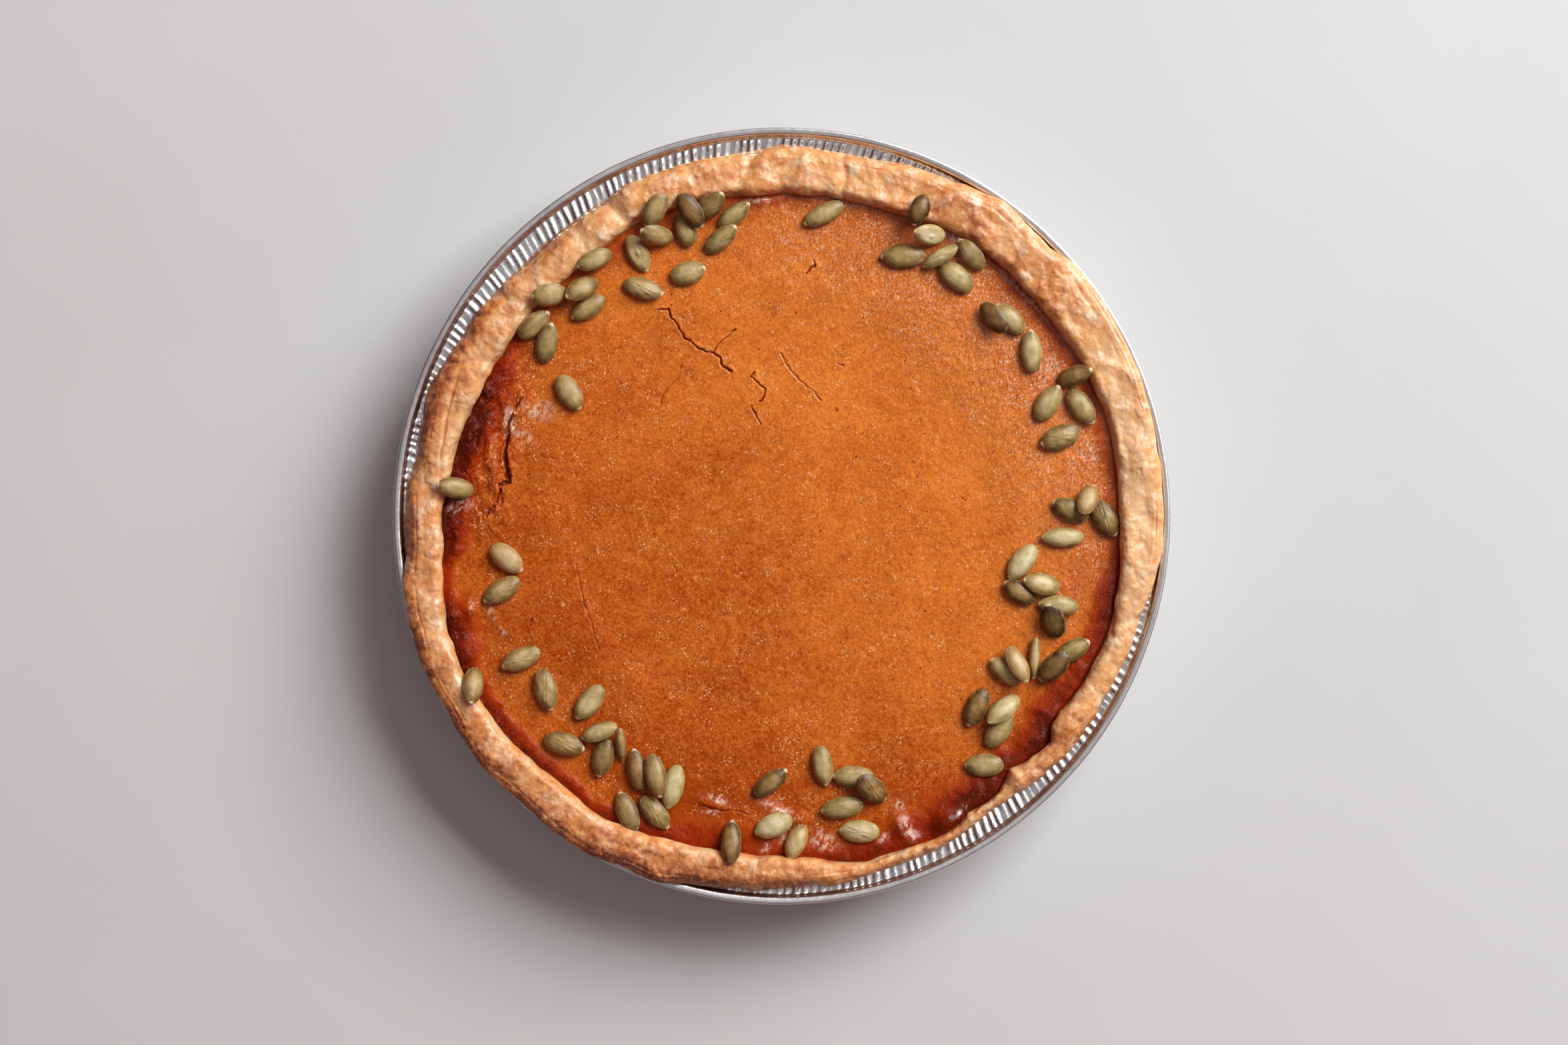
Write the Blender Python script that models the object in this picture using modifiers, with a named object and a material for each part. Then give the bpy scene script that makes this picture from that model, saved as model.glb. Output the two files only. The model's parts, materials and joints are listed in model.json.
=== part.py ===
"""A pumpkin pie in its foil tin, with pumpkin seeds lying round the edge of its filling.

Metres, +Z up. The origin is the middle of the tin's base, where it stands. The tin, the
pastry case and the filling are turned shapes. Their sections are then pushed out to the
pastry's own uneven edge, so all three share one outline. Each loose seed is one object, and
seeds that lie on each other are joined into one pile.
"""

import math

import bmesh
import bpy
from mathutils import Matrix, Vector
from mathutils.bvhtree import BVHTree

MM = 0.001
GAP = 0.3

# Driving dimensions, in millimetres.
RIM_RADIUS = 122.0
RIM_TOP = 30.5
BEAD_RADIUS = 1.2
FOIL = 0.6
BASE_RADIUS = 95.0
WALL_TOP_RADIUS = 118.6
WALL_TOP = 27.5
WALL_SLOPE = (WALL_TOP_RADIUS - BASE_RADIUS) / WALL_TOP
FLUTES = 64
FLUTE_DEPTH = 0.7
TIN_STEPS = 2 * FLUTES

PASTRY = 3.5
PASTRY_STEPS = 96
CASE_CLEARANCE = 0.6
CASE_BASE_RADIUS = BASE_RADIUS - PASTRY - 2.0
CROWN_TOP = 34.4
LIP_UNDERSIDE = RIM_TOP + 0.4
FILLING_EDGE = 29.3
FILLING_MIDDLE = 28.3
FILLING_SIDE_GAP = 0.5
SLOPE_DEPTH = 7.3
SLOPE_REACH = 4.5
INNER_EDGE = 106.0
OUTER_EDGE = 118.0
LEAST_RIM = 6.0
FLOOR_ZONE = 5.5

# The pastry's real edges, every 10 degrees anticlockwise from +X, in millimetres from the axis.
OUTER_EDGES = (119.6, 119.4, 120.0, 120.2, 121.1, 119.4, 118.5, 117.3, 115.6, 116.7, 114.2, 114.2,
               112.7, 111.9, 113.7, 114.8, 117.5, 115.8, 118.1, 119.8, 121.3, 121.3, 122.3, 121.1,
               121.7, 121.1, 118.3, 116.9, 116.7, 115.4, 114.2, 113.5, 116.2, 116.0, 116.7, 118.5)
INNER_EDGES = (106.2, 106.0, 106.2, 104.7, 104.3, 104.1, 103.5, 101.2, 101.2, 101.2, 101.6, 101.8,
               101.4, 100.8, 101.4, 101.4, 103.1, 103.9, 106.8, 108.1, 111.2, 111.0, 110.6, 109.1,
               110.4, 107.9, 106.8, 106.8, 110.2, 111.2, 112.3, 108.9, 110.0, 107.9, 108.7, 107.7)

# Creases across the pastry's crown: the angle in degrees and the depth in millimetres.
CREASES = ((47, 0.6), (79, 0.8), (98, 1.4), (104, 0.7), (117, 1.1), (140, 1.0), (152, 0.8),
           (171, 0.6), (225, 0.6), (266, 1.2), (293, 0.9), (313, 0.8), (342, 0.6))
CREASE_WIDTH = 3.5
CROWN_BLEND = 2.5

# Slow waves along the crown: how many round the pie, how high, and where they start.
CROWN_WAVES = ((5, 0.35, 0.6), (9, 0.25, 2.0))

SEED_THICKNESS = 2.8
SEED_SIDES = 10
SEED_RIM = 0.32
TIP_TAPER = 0.42
SEED_GAP = 0.4
PILE_BITE = 0.5
PROBE_STEP = 0.5
MOST_TILT = 18

# Loose seeds: x, y, heading of the pointed tip in degrees, length and width.
LOOSE_SEEDS = (
    (-45.1, 82.3, -64, 12.4, 6.8), (-29.5, 76.1, 16, 11.2, 7.3), (-43.5, 71.2, -16, 12.8, 6.6),
    (-58.5, 80.1, 204, 11.8, 6.5), (-66.6, 38.7, -58, 12.3, 7.4), (-102.0, 8.7, 171, 12.2, 6.6),
    (-86.2, -13.3, -41, 12.3, 7.5), (-87.7, -23.3, 212, 13.0, 6.9), (-81.6, -44.8, 204, 12.8, 7.0),
    (-96.4, -52.9, 265, 12.5, 7.0), (-73.9, -54.5, -76, 13.2, 7.2), (-60.2, -58.4, 232, 12.9, 7.2),
    (-68.3, -71.5, -15, 13.0, 7.3), (-48.4, -92.9, 112, 13.4, 6.8), (-39.8, -92.9, -50, 12.8, 6.9),
    (-3.6, -83.6, 38, 12.7, 6.1), (12.8, -78.2, -81, 12.7, 6.5), (19.0, -91.4, 190, 13.4, 6.8),
    (-2.5, -97.0, 202, 12.4, 7.6), (4.6, -102.1, 246, 11.6, 6.4), (24.4, -98.9, 178, 12.6, 7.3),
    (-15.8, -102.1, 88, 13.8, 6.4), (63.5, -78.2, 180, 12.2, 7.4), (75.4, -14.4, 232, 13.0, 7.2),
    (88.1, -6.7, 180, 13.4, 6.2), (87.3, 24.6, 200, 12.8, 7.6), (93.8, 34.2, -55, 12.8, 7.4),
    (83.4, 35.3, 57, 12.6, 7.3), (91.5, 43.8, 20, 12.0, 6.3), (78.2, 51.5, 92, 13.4, 6.8),
    (42.9, 95.3, 250, 10.0, 6.3), (13.2, 94.7, 208, 13.8, 6.3), (-39.5, 95.4, 240, 11.5, 7.0),
    (-39.1, 87.6, 166, 12.0, 7.0), (61.0, -60.0, 245, 12.6, 6.7), (79.2, -44.5, -94, 13.2, 3.7),
    (59.5, 82.0, 130, 12.0, 7.0), (46.2, 87.8, 172, 12.0, 7.0), (38.0, 81.4, 182, 13.8, 7.6),
)

# Piles: the same values, in the order in which the seeds fell.
SEED_PILES = (
    ((-30.2, 90.0, 105, 11.5, 6.8), (-22.3, 97.0, 45, 11.5, 7.4), (-28.6, 95.3, -55, 12.5, 7.0)),
    ((-15.0, 94.3, 37, 11.8, 6.0), (-19.2, 86.6, 40, 12.6, 6.4)),
    ((-72.6, 69.0, 188, 11.4, 7.6), (-60.6, 65.3, 212, 12.0, 6.6), (-62.5, 71.1, 211, 12.2, 7.0)),
    ((-77.6, 59.8, 41, 12.0, 7.2), (-73.6, 54.0, 76, 12.9, 6.9)),
    ((-56.0, -75.8, 257, 12.2, 6.8), (-57.1, -67.7, 200, 12.0, 6.1), (-50.4, -71.4, -86, 11.0, 3.6)),
    ((-45.3, -79.7, 100, 13.2, 6.3), (-34.1, -84.8, 257, 14.0, 6.9), (-39.5, -81.1, -78, 14.0, 6.7)),
    ((22.5, -81.8, 178, 13.0, 7.0), (28.1, -85.4, -42, 12.4, 7.5)),
    ((68.2, -67.0, 55, 13.0, 7.2), (69.3, -60.5, 221, 13.0, 7.0)),
    ((70.3, -48.7, 143, 12.0, 7.0), (73.7, -46.3, -63, 12.6, 6.7)),
    ((91.1, -42.2, 29, 11.8, 6.5), (85.0, -47.2, 226, 12.0, 7.5)),
    ((86.7, -28.1, 175, 12.4, 6.6), (84.7, -33.0, 110, 12.4, 8.0)),
    ((74.5, -23.9, 148, 11.2, 6.6), (81.5, -21.3, 168, 12.2, 7.3)),
    ((90.5, 1.8, 156, 12.2, 7.0), (101.3, -0.8, -58, 12.6, 7.6), (95.7, 5.0, 66, 11.2, 6.6)),
    ((71.5, 61.7, 132, 12.0, 7.0), (66.2, 62.0, 130, 12.0, 7.0)),
    ((54.6, 74.9, 140, 12.8, 7.6), (49.6, 81.2, 210, 12.6, 5.4)),
)


def clear_scene():
    for old in list(bpy.data.objects):
        bpy.data.objects.remove(old, do_unlink=True)


def new_collection(name):
    collection = bpy.data.collections.new(name)
    bpy.context.scene.collection.children.link(collection)
    return collection


def finish(name, colour, roughness, metallic=0.0):
    """A plain surface finish with one colour."""
    material = bpy.data.materials.new(name)
    material.use_nodes = True
    shader = material.node_tree.nodes["Principled BSDF"]
    shader.inputs["Base Color"].default_value = (*colour, 1.0)
    shader.inputs["Roughness"].default_value = roughness
    shader.inputs["Metallic"].default_value = metallic
    return material


def edge_at(edges, angle):
    """An edge's radius at an angle in radians, on a smooth closed curve through its points."""
    steps = len(edges)
    place = (angle / math.tau * steps) % steps
    at = int(place)
    t = place - at
    a, b, c, d = (edges[(at + k) % steps] for k in (-1, 0, 1, 2))
    return b + t * ((c - a) + t * ((2 * a - 5 * b + 4 * c - d) + t * (3 * (b - c) + d - a))) / 2


def rim_edges(angle):
    """The pastry rim's inner and outer radius, with the least width that it needs to hold."""
    outer = edge_at(OUTER_EDGES, angle)
    inner = min(edge_at(INNER_EDGES, angle), outer - LEAST_RIM)
    return inner, outer


def crown_height(angle):
    """How far the crown stands above its usual height: slow waves, less its creases."""
    height = sum(rise * math.sin(count * angle + start) for count, rise, start in CROWN_WAVES)
    for place, depth in CREASES:
        away = (math.degrees(angle) - place + 180) % 360 - 180
        height -= depth * math.exp(-(away / CREASE_WIDTH) ** 2)
    return height


def wall_radius(z):
    """The radius inside the tin's sloping wall, at the crests of its flutes."""
    return BASE_RADIUS - FOIL + WALL_SLOPE * min(z, WALL_TOP + FOIL) - FLUTE_DEPTH


def push_to_edges(angle, radius, z):
    """Take a point of the usual section to the pastry's real outline at this angle."""
    if z < FLOOR_ZONE:
        return radius, z
    inner, outer = rim_edges(angle)
    if radius <= INNER_EDGE:
        return radius * inner / INNER_EDGE, z
    across = (radius - INNER_EDGE) / (OUTER_EDGE - INNER_EDGE)
    pushed = inner + across * (outer - inner)
    if z <= LIP_UNDERSIDE and across < 0.9:
        pushed = min(pushed, wall_radius(z) - CASE_CLEARANCE)
    crown = max(0.0, min(1.0, (z - LIP_UNDERSIDE) / CROWN_BLEND))
    return pushed, z + crown * crown_height(angle)


def turned(name, section, steps, push, material, collection):
    """Turn a section about Z with a Screw modifier, then push its points to their outline."""
    mesh = bpy.data.meshes.new(name)
    points = [(radius, 0.0, z) for radius, z in section]
    mesh.from_pydata(points, [(i, i + 1) for i in range(len(points) - 1)], [])
    piece = bpy.data.objects.new(name, mesh)
    collection.objects.link(piece)
    screw = piece.modifiers.new("Turn", "SCREW")
    screw.axis = "Z"
    screw.steps = steps
    screw.render_steps = steps
    screw.use_merge_vertices = True
    screw.merge_threshold = 0.0001
    body = bpy.data.meshes.new_from_object(piece.evaluated_get(bpy.context.evaluated_depsgraph_get()))
    body.name = name
    piece.modifiers.clear()
    piece.data = body
    bpy.data.meshes.remove(mesh)
    for vertex in body.vertices:
        radius = math.hypot(vertex.co.x, vertex.co.y)
        angle = math.atan2(vertex.co.y, vertex.co.x)
        radius, z = push(angle, radius, vertex.co.z)
        vertex.co = MM * Vector((radius * math.cos(angle), radius * math.sin(angle), z))
    body.shade_smooth()
    body.set_sharp_from_angle(angle=math.radians(35))
    body.materials.append(material)
    return piece


def flute(angle, radius, z):
    """Every second step of the wall moves in, which folds it into flutes."""
    on_wall = FOIL + 0.5 < z < WALL_TOP and radius > BASE_RADIUS
    inward = FLUTE_DEPTH * (0.5 - 0.5 * math.cos(FLUTES * angle))
    return (radius - inward if on_wall else radius), z


def tin_section():
    """The foil's section, from inside the base over the rolled bead and back underneath."""
    bead_middle = (RIM_RADIUS - BEAD_RADIUS, RIM_TOP - BEAD_RADIUS)
    bead = []
    for turn in (180, 120, 60, 0, -60, -120):
        reach = math.radians(turn)
        bead.append((bead_middle[0] + BEAD_RADIUS * math.cos(reach),
                     bead_middle[1] + BEAD_RADIUS * math.sin(reach)))
    inside = [(0.0, FOIL), (BASE_RADIUS - FOIL, FOIL), (BASE_RADIUS - FOIL + 2 * WALL_SLOPE, 2.0),
              (WALL_TOP_RADIUS - 1.3 * FOIL, WALL_TOP - 0.2)]
    outside = [(WALL_TOP_RADIUS, WALL_TOP - 0.6), (BASE_RADIUS + 2 * WALL_SLOPE, 1.4),
               (BASE_RADIUS, 0.0), (0.0, 0.0)]
    return inside + bead + outside


def case_section():
    """The pastry case's section: inside, over the crown, down outside and underneath."""
    floor = FOIL + GAP
    inside = [(0.0, floor + PASTRY), (CASE_BASE_RADIUS, floor + PASTRY),
              (INNER_EDGE - SLOPE_REACH, FILLING_EDGE - SLOPE_DEPTH), (INNER_EDGE, FILLING_EDGE)]
    crown = [(INNER_EDGE + 1.4, CROWN_TOP - 1.9), (INNER_EDGE + 3.8, CROWN_TOP - 0.4),
             (INNER_EDGE + 7.0, CROWN_TOP), (OUTER_EDGE - 1.9, CROWN_TOP - 0.9)]
    lip = [(OUTER_EDGE, LIP_UNDERSIDE + 1.0), (OUTER_EDGE - 0.9, LIP_UNDERSIDE)]
    outside = [(OUTER_EDGE - 2.1, LIP_UNDERSIDE), (OUTER_EDGE - 2.3, WALL_TOP - 1.0),
               (wall_radius(floor) - CASE_CLEARANCE, floor), (0.0, floor)]
    return inside + crown + lip + outside


def filling_section():
    """The filling's section: a shallow dish with a low swell near its edge."""
    floor = FOIL + 2 * GAP + PASTRY
    top = [(0.0, FILLING_MIDDLE), (52.0, FILLING_MIDDLE + 0.2), (82.0, FILLING_MIDDLE + 0.9),
           (97.0, FILLING_EDGE + 0.3), (INNER_EDGE - FILLING_SIDE_GAP - 0.2, FILLING_EDGE - 0.3)]
    under = [(INNER_EDGE - SLOPE_REACH - FILLING_SIDE_GAP, FILLING_EDGE - SLOPE_DEPTH),
             (CASE_BASE_RADIUS - FILLING_SIDE_GAP, floor), (0.0, floor)]
    return top + under


def height_on(section, radius):
    """The height of a section's top surface at a radius."""
    for (r0, z0), (r1, z1) in zip(section, section[1:]):
        if r0 <= radius <= r1:
            return z0 + (z1 - z0) * (radius - r0) / (r1 - r0)
    return section[-1][1]


def surface_height(x, y):
    """The height of the filling or of the pastry at a place, in millimetres."""
    angle = math.atan2(y, x)
    radius = math.hypot(x, y)
    inner, outer = rim_edges(angle)
    if radius <= inner:
        return height_on(filling_section()[:5], radius * INNER_EDGE / inner)
    usual = INNER_EDGE + (radius - inner) / (outer - inner) * (OUTER_EDGE - INNER_EDGE)
    crown = [(r, z) for r, z in case_section()[3:9]]
    return height_on(crown, usual) + max(0.0, crown_height(angle))


def seed_points(length, width):
    """A seed's outline and its two faces, flat on its own middle, with the tip at +X."""
    seed = bmesh.new()
    bmesh.ops.create_uvsphere(seed, u_segments=SEED_SIDES, v_segments=3, radius=1.0)
    for vertex in seed.verts:
        reach = math.hypot(vertex.co.x, vertex.co.y)
        if reach > 0.1:
            along = vertex.co.x / reach
            taper = 1 - TIP_TAPER * max(0.0, along) ** 2
            vertex.co = Vector((along * length / 2, vertex.co.y / reach * taper * width / 2,
                                math.copysign(SEED_RIM * SEED_THICKNESS / 2, vertex.co.z)))
        else:
            vertex.co = Vector((-0.06 * length, 0.0, math.copysign(SEED_THICKNESS / 2, vertex.co.z)))
    return seed


def ground_tilt(x, y, heading, length, width):
    """How the surface under a seed rises along it and across it."""
    ahead = Vector((math.cos(heading), math.sin(heading)))
    aside = Vector((-ahead.y, ahead.x))
    rises = []
    for way, reach in ((ahead, 0.5 * length), (aside, 0.5 * width)):
        front = surface_height(x + way.x * reach, y + way.y * reach)
        back = surface_height(x - way.x * reach, y - way.y * reach)
        rises.append(math.atan2(front - back, 2 * reach))
    return rises


def tilted_seed(place, rise, roll):
    """A seed in its place in the plane, tilted, with its middle still at height zero."""
    x, y, heading, length, width = place
    turn = (Matrix.Rotation(math.radians(heading), 4, "Z") @ Matrix.Rotation(-rise, 4, "Y")
            @ Matrix.Rotation(roll, 4, "X"))
    seed = seed_points(length, width)
    seed.transform(Matrix.Translation((x, y, 0.0)) @ turn)
    return seed


def lift_off_surface(seed):
    """How far a seed rises to lie just clear of the filling and the pastry."""
    points = [v.co for v in seed.verts] + [f.calc_center_median() for f in seed.faces]
    points += [(e.verts[0].co + e.verts[1].co) / 2 for e in seed.edges]
    return max(surface_height(p.x, p.y) + SEED_GAP - p.z for p in points)


def settled_seed(place, under):
    """Lay a seed on the surface, or let it find the tilt in which it lies lowest on others."""
    x, y, heading, length, width = place
    rise, roll = ground_tilt(x, y, math.radians(heading), length, width)
    if not under:
        seed = tilted_seed(place, rise, roll)
        return seed, lift_off_surface(seed)
    lowest = None
    for more_rise in range(-MOST_TILT, MOST_TILT + 1, 3):
        for more_roll in range(-MOST_TILT, MOST_TILT + 1, 6):
            seed = tilted_seed(place, rise + math.radians(more_rise), roll + math.radians(more_roll))
            lift = max(lift_off_surface(seed), lift_over(seed, under) - PILE_BITE)
            if lowest is None or lift < lowest[1]:
                lowest = (seed, lift)
            else:
                seed.free()
    return lowest


def add_seed(name, collection, material, place, under=()):
    """A seed just clear of the surface, or bedded a little into the seeds that it lies on."""
    seed, lift = settled_seed(place, under)
    seed.transform(Matrix.Scale(MM, 4) @ Matrix.Translation((0.0, 0.0, lift)))
    mesh = bpy.data.meshes.new(name)
    seed.to_mesh(mesh)
    seed.free()
    mesh.materials.append(material)
    mesh.shade_smooth()
    mesh.set_sharp_from_angle(angle=math.radians(50))
    piece = bpy.data.objects.new(name, mesh)
    collection.objects.link(piece)
    return piece


def lift_over(seed, under):
    """How far a seed rises for its underside to reach the top of the seeds that it lies on."""
    lifts = []
    new_seed = BVHTree.FromBMesh(seed)
    old_seeds = [BVHTree.FromObject(piece, bpy.context.evaluated_depsgraph_get()) for piece in under]
    xs = [v.co.x for v in seed.verts]
    ys = [v.co.y for v in seed.verts]
    for across in range(int((max(xs) - min(xs)) / PROBE_STEP) + 1):
        for along in range(int((max(ys) - min(ys)) / PROBE_STEP) + 1):
            x = min(xs) + across * PROBE_STEP
            y = min(ys) + along * PROBE_STEP
            underside = new_seed.ray_cast(Vector((x, y, -50.0)), Vector((0, 0, 1)))[0]
            if underside is None:
                continue
            for tree in old_seeds:
                top = tree.ray_cast(MM * Vector((x, y, 60.0)), Vector((0, 0, -1)))[0]
                if top is not None:
                    lifts.append(top.z / MM - underside.z)
    return max(lifts, default=0.0)


def join_pile(seeds):
    """One closed body from the seeds of a pile, with Boolean unions."""
    first = seeds[0]
    for other in seeds[1:]:
        union = first.modifiers.new("Join", "BOOLEAN")
        union.operation = "UNION"
        union.solver = "EXACT"
        union.object = other
    body = bpy.data.meshes.new_from_object(first.evaluated_get(bpy.context.evaluated_depsgraph_get()))
    body.name = first.name
    first.modifiers.clear()
    old = first.data
    first.data = body
    bpy.data.meshes.remove(old)
    for other in seeds[1:]:
        bpy.data.objects.remove(other, do_unlink=True)


def build():
    clear_scene()
    pie = new_collection("Pumpkin pie")
    foil = finish("foil", (0.80, 0.80, 0.80), 0.28, 1.0)
    pastry = finish("pastry", (0.66, 0.36, 0.16), 0.7)
    custard = finish("custard", (0.60, 0.15, 0.026), 0.35)
    kernel = finish("pumpkin seed", (0.30, 0.25, 0.09), 0.45)

    turned("tin", tin_section(), TIN_STEPS, flute, foil, pie)
    turned("crust", case_section(), PASTRY_STEPS, push_to_edges, pastry, pie)
    turned("filling", filling_section(), PASTRY_STEPS, push_to_edges, custard, pie)

    for number, place in enumerate(LOOSE_SEEDS, 1):
        add_seed(f"seed_{number:02d}", pie, kernel, place)
    for number, places in enumerate(SEED_PILES, 1):
        seeds = []
        for place in places:
            bpy.context.view_layer.update()
            seeds.append(add_seed(f"seed_pile_{number:02d}", pie, kernel, place, seeds))
        bpy.context.view_layer.update()
        join_pile(seeds)


build()
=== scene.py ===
"""Finish for a pumpkin pie in its foil tin: pleated foil, baked pastry, cracked custard and seeds."""

import json
from math import copysign, cos, pi, radians, sin, tan, tau

import bmesh
import bpy
import numpy as np
from mathutils import Matrix, Vector

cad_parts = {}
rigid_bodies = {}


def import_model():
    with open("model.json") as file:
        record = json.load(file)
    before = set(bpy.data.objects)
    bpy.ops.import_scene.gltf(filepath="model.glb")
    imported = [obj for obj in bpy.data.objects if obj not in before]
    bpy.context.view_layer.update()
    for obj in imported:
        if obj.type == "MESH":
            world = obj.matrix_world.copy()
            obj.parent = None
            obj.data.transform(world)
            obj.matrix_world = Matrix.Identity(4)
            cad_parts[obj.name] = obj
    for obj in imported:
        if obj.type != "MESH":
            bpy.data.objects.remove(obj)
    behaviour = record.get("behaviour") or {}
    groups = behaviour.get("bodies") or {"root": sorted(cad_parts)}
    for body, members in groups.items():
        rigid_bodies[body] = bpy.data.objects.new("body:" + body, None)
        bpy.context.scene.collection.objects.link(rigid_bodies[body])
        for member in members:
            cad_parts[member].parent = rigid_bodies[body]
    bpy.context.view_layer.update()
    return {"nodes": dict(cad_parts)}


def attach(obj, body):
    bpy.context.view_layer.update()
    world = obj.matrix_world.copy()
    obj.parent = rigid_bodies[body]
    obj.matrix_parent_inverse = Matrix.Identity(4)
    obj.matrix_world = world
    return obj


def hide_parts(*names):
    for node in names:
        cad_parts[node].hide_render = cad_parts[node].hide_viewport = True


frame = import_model()

MM = 0.001

# The tin, in millimetres from the middle of its base.
RIM_TOP = 30.3
BEAD_START = 118.9
FOIL = 0.3
TIN_STEPS = 1960
PLEATS = 280
PLEAT_DEPTH = 0.85
STEP_RADIUS = 114
# The foil's inside from the foot of its wall to the groove beside the bead: radius and height.
FOIL_WALL = (
    (95, 0.9), (96.6, 2.6), (101.4, 8.5), (105.6, 14), (108.9, 19), (111, 23.2), (112.1, 25.5),
    (113.1, 26.3), (114.6, 26.6), (116, 26.8), (117.4, 26.98), (118.7, 27.12), (119.2, 27.3))
BEAD = (
    (119.4, 28), (119.55, 29), (119.7, 29.6), (120, 29.86), (120.5, 29.98), (121, 30.07), (121.4, 30.1),
    (121.75, 29.97), (121.97, 29.55), (121.98, 28.9), (121.5, 28.35), (120.8, 28.1), (120.2, 27.6))

# The pastry and the custard.
CUSTARD_MIDDLE = 28.2
CUSTARD_RISE = 1.1
CUSTARD_EDGE = 28.9
CUSTARD_UNDERSIDE = 24
CUSTARD_REACH = 114
CELL = 0.78
CUTS = 3
CRACK_MARGIN = 1.6
CROWN_RISE = 5
CROWN_FOOT = CUSTARD_EDGE - 0.2
PASTRY_STEPS = 1440
CROWN_COLUMNS = 46
CASE_FLOOR = 0.95
CASE_INSIDE = 4.4
CASE_HOLE = 30

# The pastry's outer edge, every 5 degrees anticlockwise from +X.
OUTER_EDGES = (
    119.6, 119.4, 119.4, 119.8, 120, 120.4, 120.2, 120.6, 121.1, 118.5, 119.4, 120.4, 118.5, 117.7, 117.3,
    115.8, 115.6, 115.8, 116.7, 115, 114.2, 115, 114.2, 114.2, 112.7, 112.9, 111.9, 112.1, 113.7, 114.8,
    114.8, 116, 117.5, 116.5, 115.8, 118.1, 118.1, 118.3, 119.8, 121.1, 121.3, 121.9, 121.3, 121.8, 122.2,
    121.7, 121.1, 121.7, 121.7, 120.2, 121.1, 119.2, 118.3, 117.5, 116.9, 116.5, 117, 115.8, 115.7, 115.9,
    114.9, 113.6, 113.9, 115.6, 116.2, 115.8, 116, 116.5, 116.7, 117.1, 118.5, 119.4)

# The edge where custard meets pastry: angle and radius.
INNER_EDGES = (
    (0, 106.2), (20, 106.2), (25, 105.8), (30, 104.7), (40, 104.3), (55, 104.1), (60, 103.5), (65, 102),
    (70, 101.2), (75, 101), (90, 101.2), (95, 100.6), (100, 101.6), (115, 102.4), (120, 101.4),
    (130, 100.8), (135, 100.4), (140, 101.4), (150, 101.4), (155, 102.4), (165, 103.3), (175, 105),
    (180, 106.8), (185, 106.6), (190, 108.1), (195, 109.3), (200, 111.2), (204, 111.4), (215, 110.8),
    (220, 110.6), (225, 109.6), (230, 109.1), (235, 109.6), (240, 110.4), (245, 109.3), (250, 107.9),
    (260, 106.8), (270, 106.8), (275, 107.9), (280, 110.2), (284, 111.8), (286, 111), (290, 111.2),
    (292, 111.4), (295, 112.2), (298, 112.2), (300, 111.6), (302, 110), (305, 110.4), (308, 110.6),
    (310, 108.9), (312, 106.8), (315, 109.1), (318, 110.4), (320, 110), (322, 107.5), (325, 106.8),
    (330, 107.9), (340, 108.7), (345, 108.5), (350, 107.7), (355, 106.6))

# Scorched custard along the pastry: angle, how far in it reaches, and how dark it is. From 0° to about 140°
# the darkening is painted shade, standing for the pastry's shadow on the custard.
SCORCH_AND_SHADE = (
    (0, 4.5, 0.25), (20, 5, 0.32), (40, 5, 0.3), (60, 4, 0.25), (80, 4, 0.15), (100, 9, 0.28),
    (120, 9, 0.28), (140, 6, 0.3), (148, 4, 0.45), (152, 6.5, 0.6), (156, 7.5, 0.8), (160, 8, 0.95),
    (165, 8.5, 1), (170, 7.5, 0.85), (174, 7.5, 0.75), (178, 8.5, 0.8), (182, 8, 0.85), (186, 6, 1),
    (189, 3.5, 0.7), (192, 3.2, 0.65), (194, 4.5, 0.8), (197, 8, 1), (200, 9.5, 1), (204, 8, 1),
    (207, 5, 1), (212, 3.8, 0.9), (225, 3.8, 0.9), (240, 3.8, 0.8), (248, 5.5, 0.7), (254, 9.5, 0.6),
    (260, 9.5, 0.6), (266, 8, 0.5), (272, 6, 0.5), (278, 5, 0.8), (284, 7, 0.85), (290, 9, 0.65),
    (297, 12, 0.8), (302, 11, 1), (306, 10, 1), (310, 8, 0.9), (314, 7.5, 0.85), (318, 10, 1),
    (322, 8.5, 1), (326, 7, 0.8), (330, 8, 0.75), (334, 6.5, 0.8), (338, 6, 0.8), (343, 6.5, 0.9),
    (347, 6, 0.85), (350, 4.5, 0.7), (356, 4, 0.4))

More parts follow.
